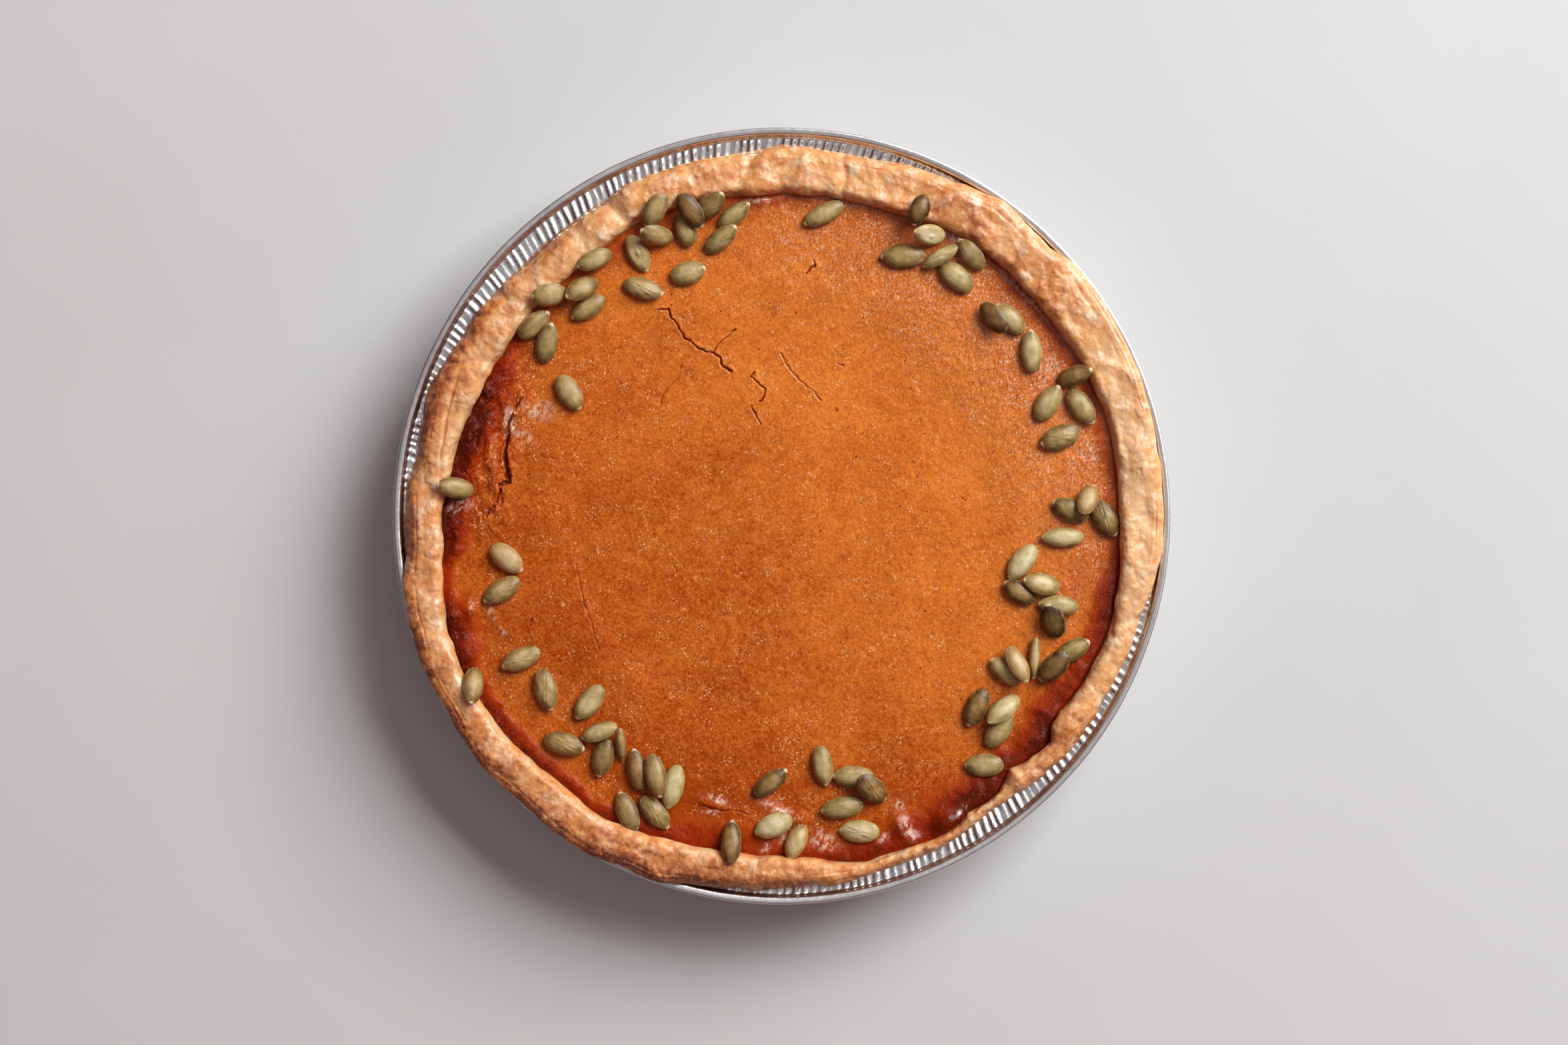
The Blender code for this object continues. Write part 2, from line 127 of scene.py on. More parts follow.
# Cracks in the custard: width, depth, and then the x and y of each corner of the route.
CRACKS = (
    (0.75, 1.1, -39, 65, -35.7, 64.9, -34.7, 62.2, -32.8, 59.9, -30.3, 55.7, -28, 54.2, -25.8, 52.5,
     -23.8, 51.7, -21.6, 51.2, -19.3, 49.5, -19.3, 47.5, -15.8, 45.7),
    (0.5, 0.8, -21.6, 51.2, -19.8, 54.2, -18.3, 55.2, -16.3, 56.7, -14.3, 58.7),
    (0.4, 0.4, -39, 64.5, -44.2, 58.4, -49.2, 55.2, -51.7, 52.2, -55.7, 49.7),
    (0.3, 0.4, -30, 55.3, -26.8, 55.2, -23.3, 56),
    (0.4, 0.5, -31.3, 47.2, -32.3, 44.8, -33, 42.8, -35.2, 40.8, -37.2, 38.3, -38.2, 34.8),
    (0.7, 1.1, -8.6, 45, -9.9, 43.9, -7.1, 41.5, -5.3, 40, -5.4, 37.7, -7.1, 35.7),
    (0.5, 0.7, -9.3, 34.4, -8.4, 31.8, -6.4, 28.6),
    (0.5, 0.5, -0.4, 51, 0.9, 48.9, 2.6, 45.6, 4.9, 43.3, 7.8, 40.7, 10.1, 39.2, 12.3, 36.2),
    (0.8, 1.6, -84.6, 31.5, -85.8, 29.4, -86, 27),
    (1.9, 1.8, -86, 27, -85.8, 24.3, -87.1, 20, -86.2, 15.7, -85.7, 10.5, -88.3, 9.8),
    (0.9, 1, -88.3, 9.8, -88.6, 7.1, -89.1, 5.1, -90.6, 2.6, -92.6, 0),
    (0.7, 0.9, -83.5, 33.8, -81.5, 36.8),
    (0.5, 0.8, 10.2, 80.1, 10.7, 78.9, 7.5, 76.2),
    (1, 1, 17.7, 48, 18.9, 47.3),
    (0.4, 0.5, -64.9, -14.1, -62.3, -26.9, -59.4, -34.6, -57.2, -42.3),
    (0.5, 0.6, -78.6, -32, -79.4, -36.3, -78.6, -38.8),
    (0.4, 0.5, -85.5, 31, -83.2, 34.5, -83.6, 38, -80.5, 41.5),
    (0.3, 0.4, -84.2, 25, -81.5, 28.5, -81.8, 31),
    (0.3, 0.4, -86.3, 17, -83.6, 18.2, -82.6, 20.5),
    (0.4, 0.6, -26, -91, -18, -92.8, -13.6, -92.5, -10.3, -93.8))

# Creases over the pastry: angle at its inner edge, slant in degrees across it, width and depth.
CREASES = (
    (47, 3, 1.6, 0.5), (66, -3, 2, 0.6), (79, 2, 1.2, 0.7), (98, -4, 2.2, 1.2), (104, 1, 1.4, 0.6),
    (117, 2, 2.2, 0.9), (127, -2, 1.5, 0.4), (140, 2, 2.2, 0.9), (152, 3, 1.8, 0.7), (196, 2, 2, 0.4),
    (225, -2, 2.2, 0.5), (247, 2, 1.6, 0.4), (266, -3, 2.2, 1), (293, 0, 1.6, 0.7), (313, 3, 1.8, 0.6),
    (332, -2, 1.6, 0.4), (342, 2, 1.6, 0.5))

# How brown the pastry is round the pie: angle, then its inner side, its top and its outer side.
BROWNING = (
    (0, 0.1, 0.05, 0.2), (20, 0.14, 0.14, 0.2), (32, 0.26, 0.22, 0.2), (42, 0.5, 0.4, 0.25),
    (56, 0.56, 0.46, 0.32), (66, 0.46, 0.4, 0.32), (80, 0.28, 0.28, 0.34), (100, 0.38, 0.44, 0.38),
    (120, 0.1, 0.16, 0.3), (140, 0.2, 0.32, 0.5), (160, 0.15, 0.4, 0.85), (180, 0.28, 0.3, 0.6),
    (200, 0.3, 0.34, 0.7), (220, 0.3, 0.44, 0.86), (240, 0.32, 0.58, 0.78), (260, 0.32, 0.48, 0.86),
    (280, 0.32, 0.4, 0.46), (300, 0.34, 0.42, 0.48), (320, 0.26, 0.38, 0.46), (340, 0.08, 0.1, 0.18))

# Swellings in the custard: x, y, long and short half-lengths, heading and height.
SWELLINGS = (
    (-12, -97.5, 12, 5.5, 8, 1.9), (-21, -91, 6, 1.8, -18, 0.8), (-1, -93, 7, 2.2, -25, 1),
    (5, -95, 4, 2.5, 20, 1), (38, -98, 7, 3.6, -60, 1.8), (51, -95, 5, 4, 30, 1.5),
    (-98, 24, 15, 4, 105, 1.6), (-91.5, 20, 11, 2, 97, 1.1), (-94, 40, 6, 3.5, 125, 1.3),
    (-97, -28, 7, 3.5, 70, 1.3), (-8, 99, 5, 2, 0, 0.9), (-90.5, 12, 6, 1.6, 100, 0.8))

# Wet, shining patches of custard, glossier and painted with a pale painted shine: x, y, long and short
# half-lengths and heading.
WET_PATCHES = (
    (-20.5, -88.7, 5.5, 1.6, -20), (-1.6, -91.8, 7.5, 2, -25), (-22, -93.2, 3.5, 1, 0),
    (-5, -104.5, 2.5, 1.6, 60), (0, -101.5, 2, 1.5, 60), (13, -102, 5.5, 3.5, -20),
    (-85.5, 30, 5.5, 2.2, 100), (-81, 24.8, 4.5, 2.2, -30), (-73, 34.5, 3.5, 1.5, -30),
    (-101, 3, 5, 2.5, 20), (84, 46, 5.5, 3, 60), (96.3, 20, 6, 2.8, 110), (90, 36, 5, 1.4, 100),
    (79, 70, 14, 4, -47), (58, 86, 9, 3.5, -30), (92, 57, 7, 3, 120), (39, -97.5, 5.5, 2.2, -62),
    (36.5, -90.5, 2.5, 1.6, -30), (32, -101, 2.5, 1.4, 40), (56.5, -92.5, 2.5, 1.4, 60),
    (-91.5, -29.5, 4.5, 1.3, -65), (-97.3, -29, 4, 0.9, -82), (-88, -36, 2.5, 1, -40), (-8, 99, 5, 1.6, 0),
    (-60, 84, 6, 2, 35), (-77, 33, 6, 3, -20))

# Seeds in the order in which they fell: x, y, heading of the tip, length, width, tone and warmth of
# the colour in per cent, and the kind where it isn't smooth.
SMOOTH, WAVY, FLAT = 0, 1, 2
SEEDS = (
    (-45.1, 82.3, -64, 12.4, 6.8, 62, 30, FLAT), (-29.5, 76.1, 16, 11.2, 7.3, 58, 20),
    (-43.5, 71.2, -16, 12.8, 6.6, 58, 35, WAVY), (-58.5, 80.1, 204, 11.8, 6.5, 60, 15),
    (-66.6, 38.7, -58, 12.3, 7.4, 60, 30), (-102, 8.7, 171, 12.2, 6.6, 52, 20),
    (-86.2, -13.3, -41, 12.3, 7.5, 68, 75), (-87.7, -23.3, 212, 13, 6.9, 50, 35, WAVY),
    (-81.6, -44.8, 204, 12.8, 7, 60, 40, WAVY), (-96.4, -52.9, 265, 12.5, 7, 42, 40),
    (-73.9, -54.5, -76, 13.2, 7.2, 50, 35, WAVY), (-60.2, -58.4, 232, 12.9, 7.2, 64, 25, FLAT),
    (-68.3, -71.5, -15, 13, 7.3, 45, 45, WAVY), (-48.4, -92.9, 112, 13.4, 6.8, 42, 35),
    (-39.8, -92.9, -50, 12.8, 6.9, 48, 30, WAVY), (-3.6, -83.6, 38, 12.7, 6.1, 32, 40),
    (12.8, -78.2, -81, 12.7, 6.5, 60, 25), (19, -91.4, 190, 13.4, 6.8, 55, 0),
    (-2.5, -97, 202, 12.4, 7.6, 78, 10), (4.6, -102.1, 246, 11.6, 6.4, 66, 60),
    (24.4, -98.9, 178, 12.6, 7.3, 76, 15, WAVY), (-15.8, -102.1, 88, 13.8, 6.4, 30, 50),
    (63.5, -78.2, 180, 12.2, 7.4, 56, 10), (75.4, -14.4, 232, 13, 7.2, 80, 10),
    (88.1, -6.7, 180, 13.4, 6.2, 74, 15), (87.3, 24.6, 200, 12.8, 7.6, 46, 25, WAVY),
    (93.8, 34.2, -55, 12.8, 7.4, 52, 20), (83.4, 35.3, 57, 12.6, 7.3, 60, 12),
    (91.5, 43.8, 20, 12, 6.3, 40, 40), (78.2, 51.5, 92, 13.4, 6.8, 66, 15),
    (42.9, 95.3, 250, 10, 6.3, 20, 40), (13.2, 94.7, 208, 13.8, 6.3, 58, 15),
    (-39.5, 95.4, 240, 11.5, 7, 52, 30), (-39.1, 87.6, 166, 12, 7, 54, 35),
    (61, -60, 245, 12.6, 6.7, 28, 50), (79.2, -44.5, -94, 13.2, 3.7, 60, 25),
    (59.2, 81.8, 130, 12, 7, 56, 20), (46.2, 87.8, 172, 12, 7, 82, 30, FLAT),
    (38, 81.4, 182, 13.8, 7.6, 46, 28), (-30.2, 90, 105, 11.5, 6.8, 50, 20),
    (-22.3, 97, 45, 11.5, 7.4, 44, 35, WAVY), (-28.6, 95.3, -55, 12.5, 7, 22, 55),
    (-15, 94.3, 37, 11.8, 6, 52, 10), (-19.2, 86.6, 40, 12.6, 6.4, 52, 15, WAVY),
    (-72.6, 69, 188, 11.4, 7.6, 60, 30), (-60.6, 65.3, 212, 12, 6.6, 50, 30),
    (-62.5, 71.1, 211, 12.2, 7, 44, 28), (-77.6, 59.8, 41, 12, 7.2, 50, 30),
    (-73.6, 54, 76, 12.9, 6.9, 50, 12), (-56, -75.8, 257, 12.2, 6.8, 38, 30),
    (-57.1, -67.7, 200, 12, 6.1, 64, 15), (-50.4, -71.4, -86, 11, 3.6, 48, 50),
    (-45.3, -79.7, 100, 13.2, 6.3, 36, 90), (-34.1, -84.8, 257, 14, 6.9, 76, 15),
    (-39.5, -81.1, -78, 14, 6.7, 48, 35), (22.5, -81.8, 178, 13, 7, 58, 20),
    (28.1, -85.4, -42, 12.4, 7.5, 32, 45, WAVY), (68.2, -67, 55, 13, 7.2, 54, 20),
    (69.3, -60.5, 221, 13, 7, 74, 15), (70.3, -48.7, 143, 12, 7, 64, 25),
    (73.7, -46.3, -63, 12.6, 6.7, 62, 65), (91.1, -42.2, 29, 11.8, 6.5, 44, 10),
    (85, -47.2, 226, 12, 7.5, 24, 45), (86.7, -28.1, 175, 12.4, 6.6, 64, 20),
    (84.7, -33, 110, 12.4, 8, 18, 25), (74.5, -23.9, 148, 11.2, 6.6, 34, 30),
    (81.5, -21.3, 168, 12.2, 7.3, 60, 15), (90.5, 1.8, 156, 12.2, 7, 38, 15),
    (101.3, -0.8, -58, 12.6, 7.6, 34, 30, WAVY), (95.7, 5, 66, 11.2, 6.6, 58, 60),
    (71.5, 61.7, 132, 12, 7, 60, 25), (66.2, 62, 130, 12, 7, 24, 60), (54.6, 74.9, 140, 12.8, 7.6, 60, 15),
    (49.6, 81.2, 210, 12.6, 5.4, 64, 15, WAVY))
SEED_THICKNESS = 3.7
EDGEWISE_WIDTH = 5
EDGEWISE_THICKNESS = 3.4
SEED_SINK = 0.25


# Sums on the values of a node tree.

class Value:
    """A socket that gives one number over a surface, with the usual signs for sums on it."""

    def __init__(self, tree, socket):
        self.tree = tree
        self.socket = socket

    def math(self, operation, *others, **settings):
        inputs = dict(enumerate((self, *others)))
        return node(self.tree, "Math", inputs, operation=operation, **settings)

    def __add__(self, other):
        return self.math("ADD", other)

    def __sub__(self, other):
        return self.math("SUBTRACT", other)

    def __rsub__(self, other):
        return node(self.tree, "Math", {0: other, 1: self}, operation="SUBTRACT")

    def __mul__(self, other):
        return self.math("MULTIPLY", other)

    def __truediv__(self, other):
        return self.math("DIVIDE", other)

    __radd__ = __add__
    __rmul__ = __mul__

    def ease(self, low, high, start=0, end=1):
        """Rise smoothly from start to end as the value goes from low to high."""
        inputs = {"Value": self, "From Min": low, "From Max": high, "To Min": start, "To Max": end}
        return node(self.tree, "MapRange", inputs, interpolation_type="SMOOTHSTEP")

    def clamped(self):
        return self.math("ADD", 0, use_clamp=True)

    def vector(self, operation, other):
        """A sum on two vectors, or a vector scaled by a number."""
        inputs = {0: self, "Scale" if operation == "SCALE" else 1: other}
        return node(self.tree, "VectorMath", inputs, operation=operation)

    def parts(self):
        """The three numbers of a vector."""
        made = node(self.tree, "SeparateXYZ", {0: self})
        return [Value(self.tree, socket) for socket in made.socket.node.outputs]


def node(tree, kind, inputs=None, out=0, **settings):
    """One node with its inputs and its settings, as a value that sums can use."""
    prefix = "GeometryNode" if hasattr(bpy.types, "GeometryNode" + kind) else "ShaderNode"
    made = tree.nodes.new(prefix + kind)
    for name, value in settings.items():
        setattr(made, name, value)
    for name, value in (inputs or {}).items():
        if isinstance(value, Value):
            tree.links.new(value.socket, made.inputs[name])
        else:
            made.inputs[name].default_value = value
    return Value(tree, made.outputs[out])


def ramp(tree, value, places, colours):
    """Colours that blend into each other from place to place along a value."""
    made = node(tree, "ValToRGB", {0: value})
    stops = made.socket.node.color_ramp.elements
    while len(stops) > 1:
        stops.remove(stops[-1])
    for place, colour in zip(places, colours):
        stop = stops.new(place) if place else stops[0]
        stop.position = place
        stop.color = (*colour, 1)
    return made


def combined(tree, x, y, z):
    return node(tree, "CombineXYZ", {0: x, 1: y, 2: z})


class Finish:
    """A material of one Principled shader, with the patterns that its surface needs."""

    def __init__(self, name, **constants):
        self.material = bpy.data.materials.new(name)
        self.material.use_nodes = True
        self.tree = self.material.node_tree
        self.shader = self.tree.nodes["Principled BSDF"]
        for socket, value in constants.items():
            self.shader.inputs[socket.replace("_", " ")].default_value = value
        self.place = node(self.tree, "TexCoord", out=3).vector("SCALE", 1 / MM)

    def noise(self, size, detail=2, rough=0.5, place=None):
        """Soft noise about 0.5, with lumps of a size in millimetres."""
        inputs = {"Vector": place or self.place, "Scale": 1 / size, "Detail": detail, "Roughness": rough}
        return node(self.tree, "TexNoise", inputs)

    def cells(self, size, place=None):
        """The distance to the nearest of points strewn about a size apart, as a share of that size."""
        return node(self.tree, "TexVoronoi", {"Vector": place or self.place, "Scale": 1 / size})

    def attribute(self, name, out=2):
        return node(self.tree, "Attribute", out=out, attribute_name=name)

    def mix(self, factor, first, second):
        first, second = (c if isinstance(c, Value) else (*c, 1) for c in (first, second))
        return node(self.tree, "Mix", {0: factor, 6: first, 7: second}, out=2, data_type="RGBA")

    def layers(self, colour, *layers):
        """Lay colours over each other, each as strongly as its mask says."""
        for mask, tint in layers:
            colour = self.mix(mask, colour, tint)
        return colour

    def bump(self, height, strength=1):
        """Relief from a height in millimetres."""
        return node(self.tree, "Bump", {"Height": height, "Distance": MM, "Strength": strength})

    def set(self, **values):
        for socket, value in values.items():
            self.tree.links.new(value.socket, self.shader.inputs[socket.replace("_", " ")])
        return self.material


# Smooth patterns worked out point by point, for the shapes.

def around(keys, angles, column=1):
    """Read one column of keys all the way round; their first column is an angle in degrees."""
    return np.interp(angles, [k[0] for k in keys], [k[column] for k in keys], period=360)


def eased(t):
    t = np.clip(t, 0, 1)
    return t * t * (3 - 2 * t)


def lattice(x, y, size):
    """Places on a lattice of this size, and the lattice point before each."""
    gx, gy = x / size, y / size
    return gx, gy, np.floor(gx).astype(int), np.floor(gy).astype(int)


def lumps(x, y, size, seed, wrap=256):
    """Smooth noise from -1 to 1 with lumps of this size; x repeats after `wrap` lumps."""
    table = np.random.default_rng(seed).uniform(-1, 1, (wrap, 256))
    gx, gy, ix, iy = lattice(x, y, size)
    fx, fy = eased(gx - ix), eased(gy - iy)
    a, b, c, d = (table[(ix + i) % wrap, (iy + j) % 256] for j in (0, 1) for i in (0, 1))
    return (a + (b - a) * fx) * (1 - fy) + (c + (d - c) * fx) * fy


def bubbles(x, y, size, seed, wrap=256):
    """Rounded blisters about this size: 1 on top of each, 0 between them."""
    rng = np.random.default_rng(seed)
    jitter = rng.uniform(0.1, 0.9, (wrap, 256, 2))
    tall = rng.uniform(0.35, 1, (wrap, 256))
    gx, gy, ix, iy = lattice(x, y, size)
    best = np.zeros_like(gx)
    for dx in (-1, 0, 1):
        for dy in (-1, 0, 1):
            cx, cy = (ix + dx) % wrap, (iy + dy) % 256
            px = ix + dx + jitter[cx, cy, 0]
            py = iy + dy + jitter[cx, cy, 1]
            far = np.hypot(gx - px, gy - py) / 0.85
            best = np.maximum(best, tall[cx, cy] * (1 - np.clip(far, 0, 1) ** 2) ** 1.5)
    return best


def distance_to(x, y, route):
    """The distance from each point to straight runs through corners, given as x, y, x, y and so on."""
    nearest = np.full_like(x, 1e9)
    corners = list(zip(route[::2], route[1::2]))
    for (ax, ay), (bx, by) in zip(corners, corners[1:]):
        length = (bx - ax) ** 2 + (by - ay) ** 2
        t = np.clip(((x - ax) * (bx - ax) + (y - ay) * (by - ay)) / length, 0, 1)
        nearest = np.minimum(nearest, np.hypot(x - ax - t * (bx - ax), y - ay - t * (by - ay)))
    return nearest


def turned_to(x, y, px, py, heading):
    """Places measured from (px, py), along a heading in degrees and across it."""
    x, y, turn = x - px, y - py, radians(heading)
    return x * cos(turn) + y * sin(turn), y * cos(turn) - x * sin(turn)


def outer_edge(angles):
    return np.interp(angles, range(0, 360, 5), OUTER_EDGES, period=360)


def inner_edge(angles):
    """The custard's edge, a little ragged between its keys."""
    ragged = 0.25 * lumps(angles * 2, 0 * angles, 4, 11, 180)
    return np.minimum(around(INNER_EDGES, angles) + ragged, outer_edge(angles) - 1.8)


def angle_of(x, y):
    return np.degrees(np.arctan2(y, x)) % 360


# Meshes.

def new_object(name, data):
    thing = bpy.data.objects.new(name, data)
    bpy.context.scene.collection.objects.link(thing)
    return thing


def new_mesh(name, points, faces=()):
    """A smooth mesh from points in millimetres."""
    mesh = bpy.data.meshes.new(name)
    mesh.from_pydata([tuple(p) for p in np.asarray(points) * MM], [], faces)
    mesh.shade_smooth()
    return mesh


def new_piece(name, points, faces, material):
    """A mesh object at the origin from points in millimetres."""
    mesh = new_mesh(name, points, faces)
    mesh.validate()
    mesh.materials.append(material)
    return new_object(name, mesh)


def rework(piece, change=None):
    """Change a piece's mesh, if asked, and turn all its faces outwards."""
    form = bmesh.new()
    form.from_mesh(piece.data)
    if change:
        change(form)
    bmesh.ops.recalc_face_normals(form, faces=form.faces)
    form.to_mesh(piece.data)
    form.free()
    return piece


def add_values(mesh, name, values, kind="FLOAT"):
    """Give each point of a mesh its own value under a name."""
    layer = mesh.attributes.new(name, kind, "POINT")
    layer.data.foreach_set("vector" if kind == "FLOAT_VECTOR" else "value", np.ravel(values))


# Custard.

def crack_depths(x, y):
    """How deep each point lies in a crack, and how far it is raised beside one."""
    sway_x = 0.35 * lumps(x, y, 1.3, 21)
    sway_y = 0.35 * lumps(x, y, 1.3, 22)
    deep = np.zeros_like(x)
    lip = np.zeros_like(x)
    for width, depth, *route in CRACKS:
        far = distance_to(x + sway_x, y + sway_y, route)
        thick = width * (0.7 + 0.55 * lumps(x, y, 3, 23))
        deep = np.maximum(deep, depth * (1 - eased(far / (0.5 * thick + 0.16))))
        crumbly = 1 + 0.8 * lumps(x, y, 1.1, 24)
        lip = np.maximum(lip, 0.2 * min(depth, 1.4) * crumbly * np.exp(-((far - thick) / 0.9) ** 2))
    return deep, lip


def scorch_and_shade_amount(x, y):
    """How scorched the custard is at each point, from 0 to 1, with painted shade along the pastry from 0°
    to about 140°, and how puffed up it is.
    """
    angles = angle_of(x, y)
    reach, dark = around(SCORCH_AND_SHADE, angles, 1), around(SCORCH_AND_SHADE, angles, 2)
    inward = inner_edge(angles) - np.hypot(x, y)
    ragged = 1.2 * lumps(x, y, 5, 31) + 0.8 * lumps(x, y, 2.2, 32)
    amount = dark * (1 - eased((inward + ragged - 0.25 * reach) / (1.15 * reach + 1)))
    puffed = (1 - eased(inward / (1.35 * reach + 1.5))) * dark * np.clip((reach - 2.5) / 5, 0.1, 1)
    return amount, puffed


def custard_height(x, y):
    """The custard's surface without its cracks."""
    radius = np.hypot(x, y)
    angles = angle_of(x, y)
    inner = inner_edge(angles)
    rise = 0.55 * eased((radius - 40) / 40) + 0.45 * eased((radius - 62) / 12)
    height = CUSTARD_MIDDLE + CUSTARD_RISE * rise
    fall = CUSTARD_MIDDLE + CUSTARD_RISE + 0.3 - CUSTARD_EDGE
    height -= fall * eased((radius - inner + 24) / 24)
    step = np.exp(-(((angles - 212) % 360 + 180) % 360 - 180) ** 2 / 30 ** 2)
    height += 0.35 * step * eased((radius - 64) / 4)
    edge = eased((radius - 66) / 22)
    waves = ((0.3, 34, 41), (0.15, 13, 42), (0.03 + 0.1 * edge, 4.5, 43), (0.02 + 0.05 * edge, 2, 44))
    for swing, size, seed in waves:
        height += swing * lumps(x, y, size, seed)
    amount, puffed = scorch_and_shade_amount(x, y)
    inside = 1 - eased((radius - inner + 1.4) / 1.6)
    height += puffed * (0.5 + 2.1 * bubbles(x, y, 9, 47)) * inside
    for px, py, length, width, heading, rise in SWELLINGS:
        u, v = turned_to(x, y, px, py, heading)
        u, v = u + 1.2 * lumps(x, y, 4, 48), v + 0.7 * lumps(x, y, 3, 49)
        height += rise * np.exp(-(u / length) ** 2 * 1.6 - (v / width) ** 2 * 1.6)
    puckered = np.exp(-(((angles - 170) / 16) ** 2)) * eased((radius - 82) / 6)
    ridges = 1 - np.abs(lumps(radius, angles, 2.6, 38) + 0.4 * lumps(x, y, 3, 39)) * 2.2
    height += 0.45 * puckered * ridges
    return height + amount * (0.6 * bubbles(x, y, 4.2, 45) + 0.12 * bubbles(x, y, 1.9, 46)) * inside


def custard_cells():
    """Square cells out to the pastry, cut finer where a crack passes, with no gaps."""
    count = int(CUSTARD_REACH / CELL) + 1
    centres = (np.arange(-count, count) + 0.5) * CELL
    cx, cy = np.meshgrid(centres, centres, indexing="ij")
    angles = angle_of(cx, cy)
    inner = inner_edge(angles)
    inside = np.hypot(cx, cy) < inner + np.minimum(2, 0.4 * (outer_edge(angles) - inner))
    split = inside & (crack_depths(cx, cy)[0] > 0)
    for _, _, *route in CRACKS:
        split |= inside & (distance_to(cx, cy, route) < CRACK_MARGIN)
    places = {}
    faces = []

    def corner(i, j):
        return places.setdefault((i, j), len(places))

    for i, j in np.argwhere(inside).tolist():
        u, v = CUTS * i, CUTS * j
        if split[i, j]:
            for a in range(u, u + CUTS):
                for b in range(v, v + CUTS):
                    faces.append([corner(a, b), corner(a + 1, b), corner(a + 1, b + 1), corner(a, b + 1)])
            continue
        loop = []
        far_u, far_v = u + CUTS, v + CUTS
        sides = ((u, v, 1, 0, (i, j - 1)), (far_u, v, 0, 1, (i + 1, j)),
                 (far_u, far_v, -1, 0, (i, j + 1)), (u, far_v, 0, -1, (i - 1, j)))
        for su, sv, du, dv, beside in sides:
            loop += [corner(su + k * du, sv + k * dv) for k in range(CUTS if split[beside] else 1)]
        faces.append(loop)
    lattice = np.array(list(places)) * CELL / CUTS - count * CELL
    return lattice[:, 0], lattice[:, 1], faces


def close_below(form):
    """Drop an open sheet's edge to a flat underside, so that the piece is a closed solid."""
    rim = [e for e in form.edges if e.is_boundary]
    made = bmesh.ops.extrude_edge_only(form, edges=rim)["geom"]
    for vertex in (v for v in made if isinstance(v, bmesh.types.BMVert)):
        vertex.co.z = CUSTARD_UNDERSIDE * MM
    bottom = [e for e in made if isinstance(e, bmesh.types.BMEdge) and e.is_boundary]
    bmesh.ops.holes_fill(form, edges=bottom, sides=0)

    def rank(face):
        numbers = [v.index for v in face.verts]
        return min(numbers) * len(form.verts) + sum(numbers)

    # The new faces come in any order, so sort them to give the same mesh each time.
    form.verts.index_update()
    form.faces.sort(key=rank)


def make_custard(material):
    x, y, faces = custard_cells()
    deep, lip = crack_depths(x, y)
    z = custard_height(x, y) - deep + lip
    piece = new_piece("custard", np.stack([x, y, z], 1), faces, material)
    wet_and_painted_shine = np.zeros_like(x)
    for px, py, length, width, heading in WET_PATCHES:
        u, v = turned_to(x, y, px, py, heading)
        wet_and_painted_shine = np.maximum(wet_and_painted_shine, np.exp(-(u / length) ** 2 - (v / width) ** 2))
    add_values(piece.data, "scorch_and_shade", scorch_and_shade_amount(x, y)[0])
    add_values(piece.data, "crack", np.clip(deep / 0.7, 0, 1))
    add_values(piece.data, "wet_and_painted_shine", wet_and_painted_shine)
    return rework(piece, close_below)


# Pastry.

def foil_top(radii):
    """The height of whatever foil lies below each radius: the flange, or the bead round it."""
    flange = np.interp(radii, *zip(*FOIL_WALL))
    return flange + (RIM_TOP - flange) * eased((radii - BEAD_START) / 0.9)


def crown(inner, outer, u, angles):
    """The crown's height at a distance u out from the pastry's inner edge."""
    width = outer - inner
    rise_length = np.minimum(3.4, 0.42 * width)
    flat_side = np.clip(np.cos(np.radians(angles - 25)), 0, 1)
    fall_length = np.minimum(6 - 2.6 * flat_side, 0.56 * width)
    up = (1 - (1 - np.clip(u / rise_length, 0, 1)) ** 2.6) ** (1 / 2.6)
    down = 1 - np.sqrt(1 - (1 - np.clip((width - u) / fall_length, 0, 1)) ** 2)
    top = CROWN_FOOT + CROWN_RISE * np.minimum(1, (width / 9) ** 0.5)
    lip = foil_top(outer) + 1.4 + 0.5 * flat_side
    return CROWN_FOOT + (top - CROWN_FOOT) * up - (top - lip) * down


def pastry_sections(angles):
    """Rows of points round the pastry: across its crown, round its lip and back inside."""
    inner = inner_edge(angles)[:, None]
    outer = outer_edge(angles)[:, None]
    t = np.linspace(0, 1, CROWN_COLUMNS)[None, :]
    t = 0.5 - 0.5 * np.cos(np.pi * t) * (1 - 0.25 * np.sin(np.pi * t) ** 2)
    u = t * (outer - inner)
    lip = foil_top(outer)
    section = [(inner + u, crown(inner, outer, u, angles[:, None])),
               (outer + 0.15, lip + 1.05), (outer - 0.05, lip + 0.75), (outer - 0.7, lip + 0.6)]
    # Under the crown, with more and more room over the pleats further in.
    for share, gap in ((0.14, 0.6), (0.32, 0.9), (0.62, 1.9), (0.8, 2.3), (1, 2.6)):
        radius = outer + (109 - outer) * share
        section.append((radius, foil_top(radius) + gap))
    section += [(92.6, CASE_FLOOR), (CASE_HOLE, CASE_FLOOR), (CASE_HOLE, CASE_INSIDE), (89.5, CASE_INSIDE),
                (inner - 5, 21), (inner - 0.8, 26.6)]
    return [np.concatenate([part + 0 * outer for part in parts], 1) for parts in zip(*section)]


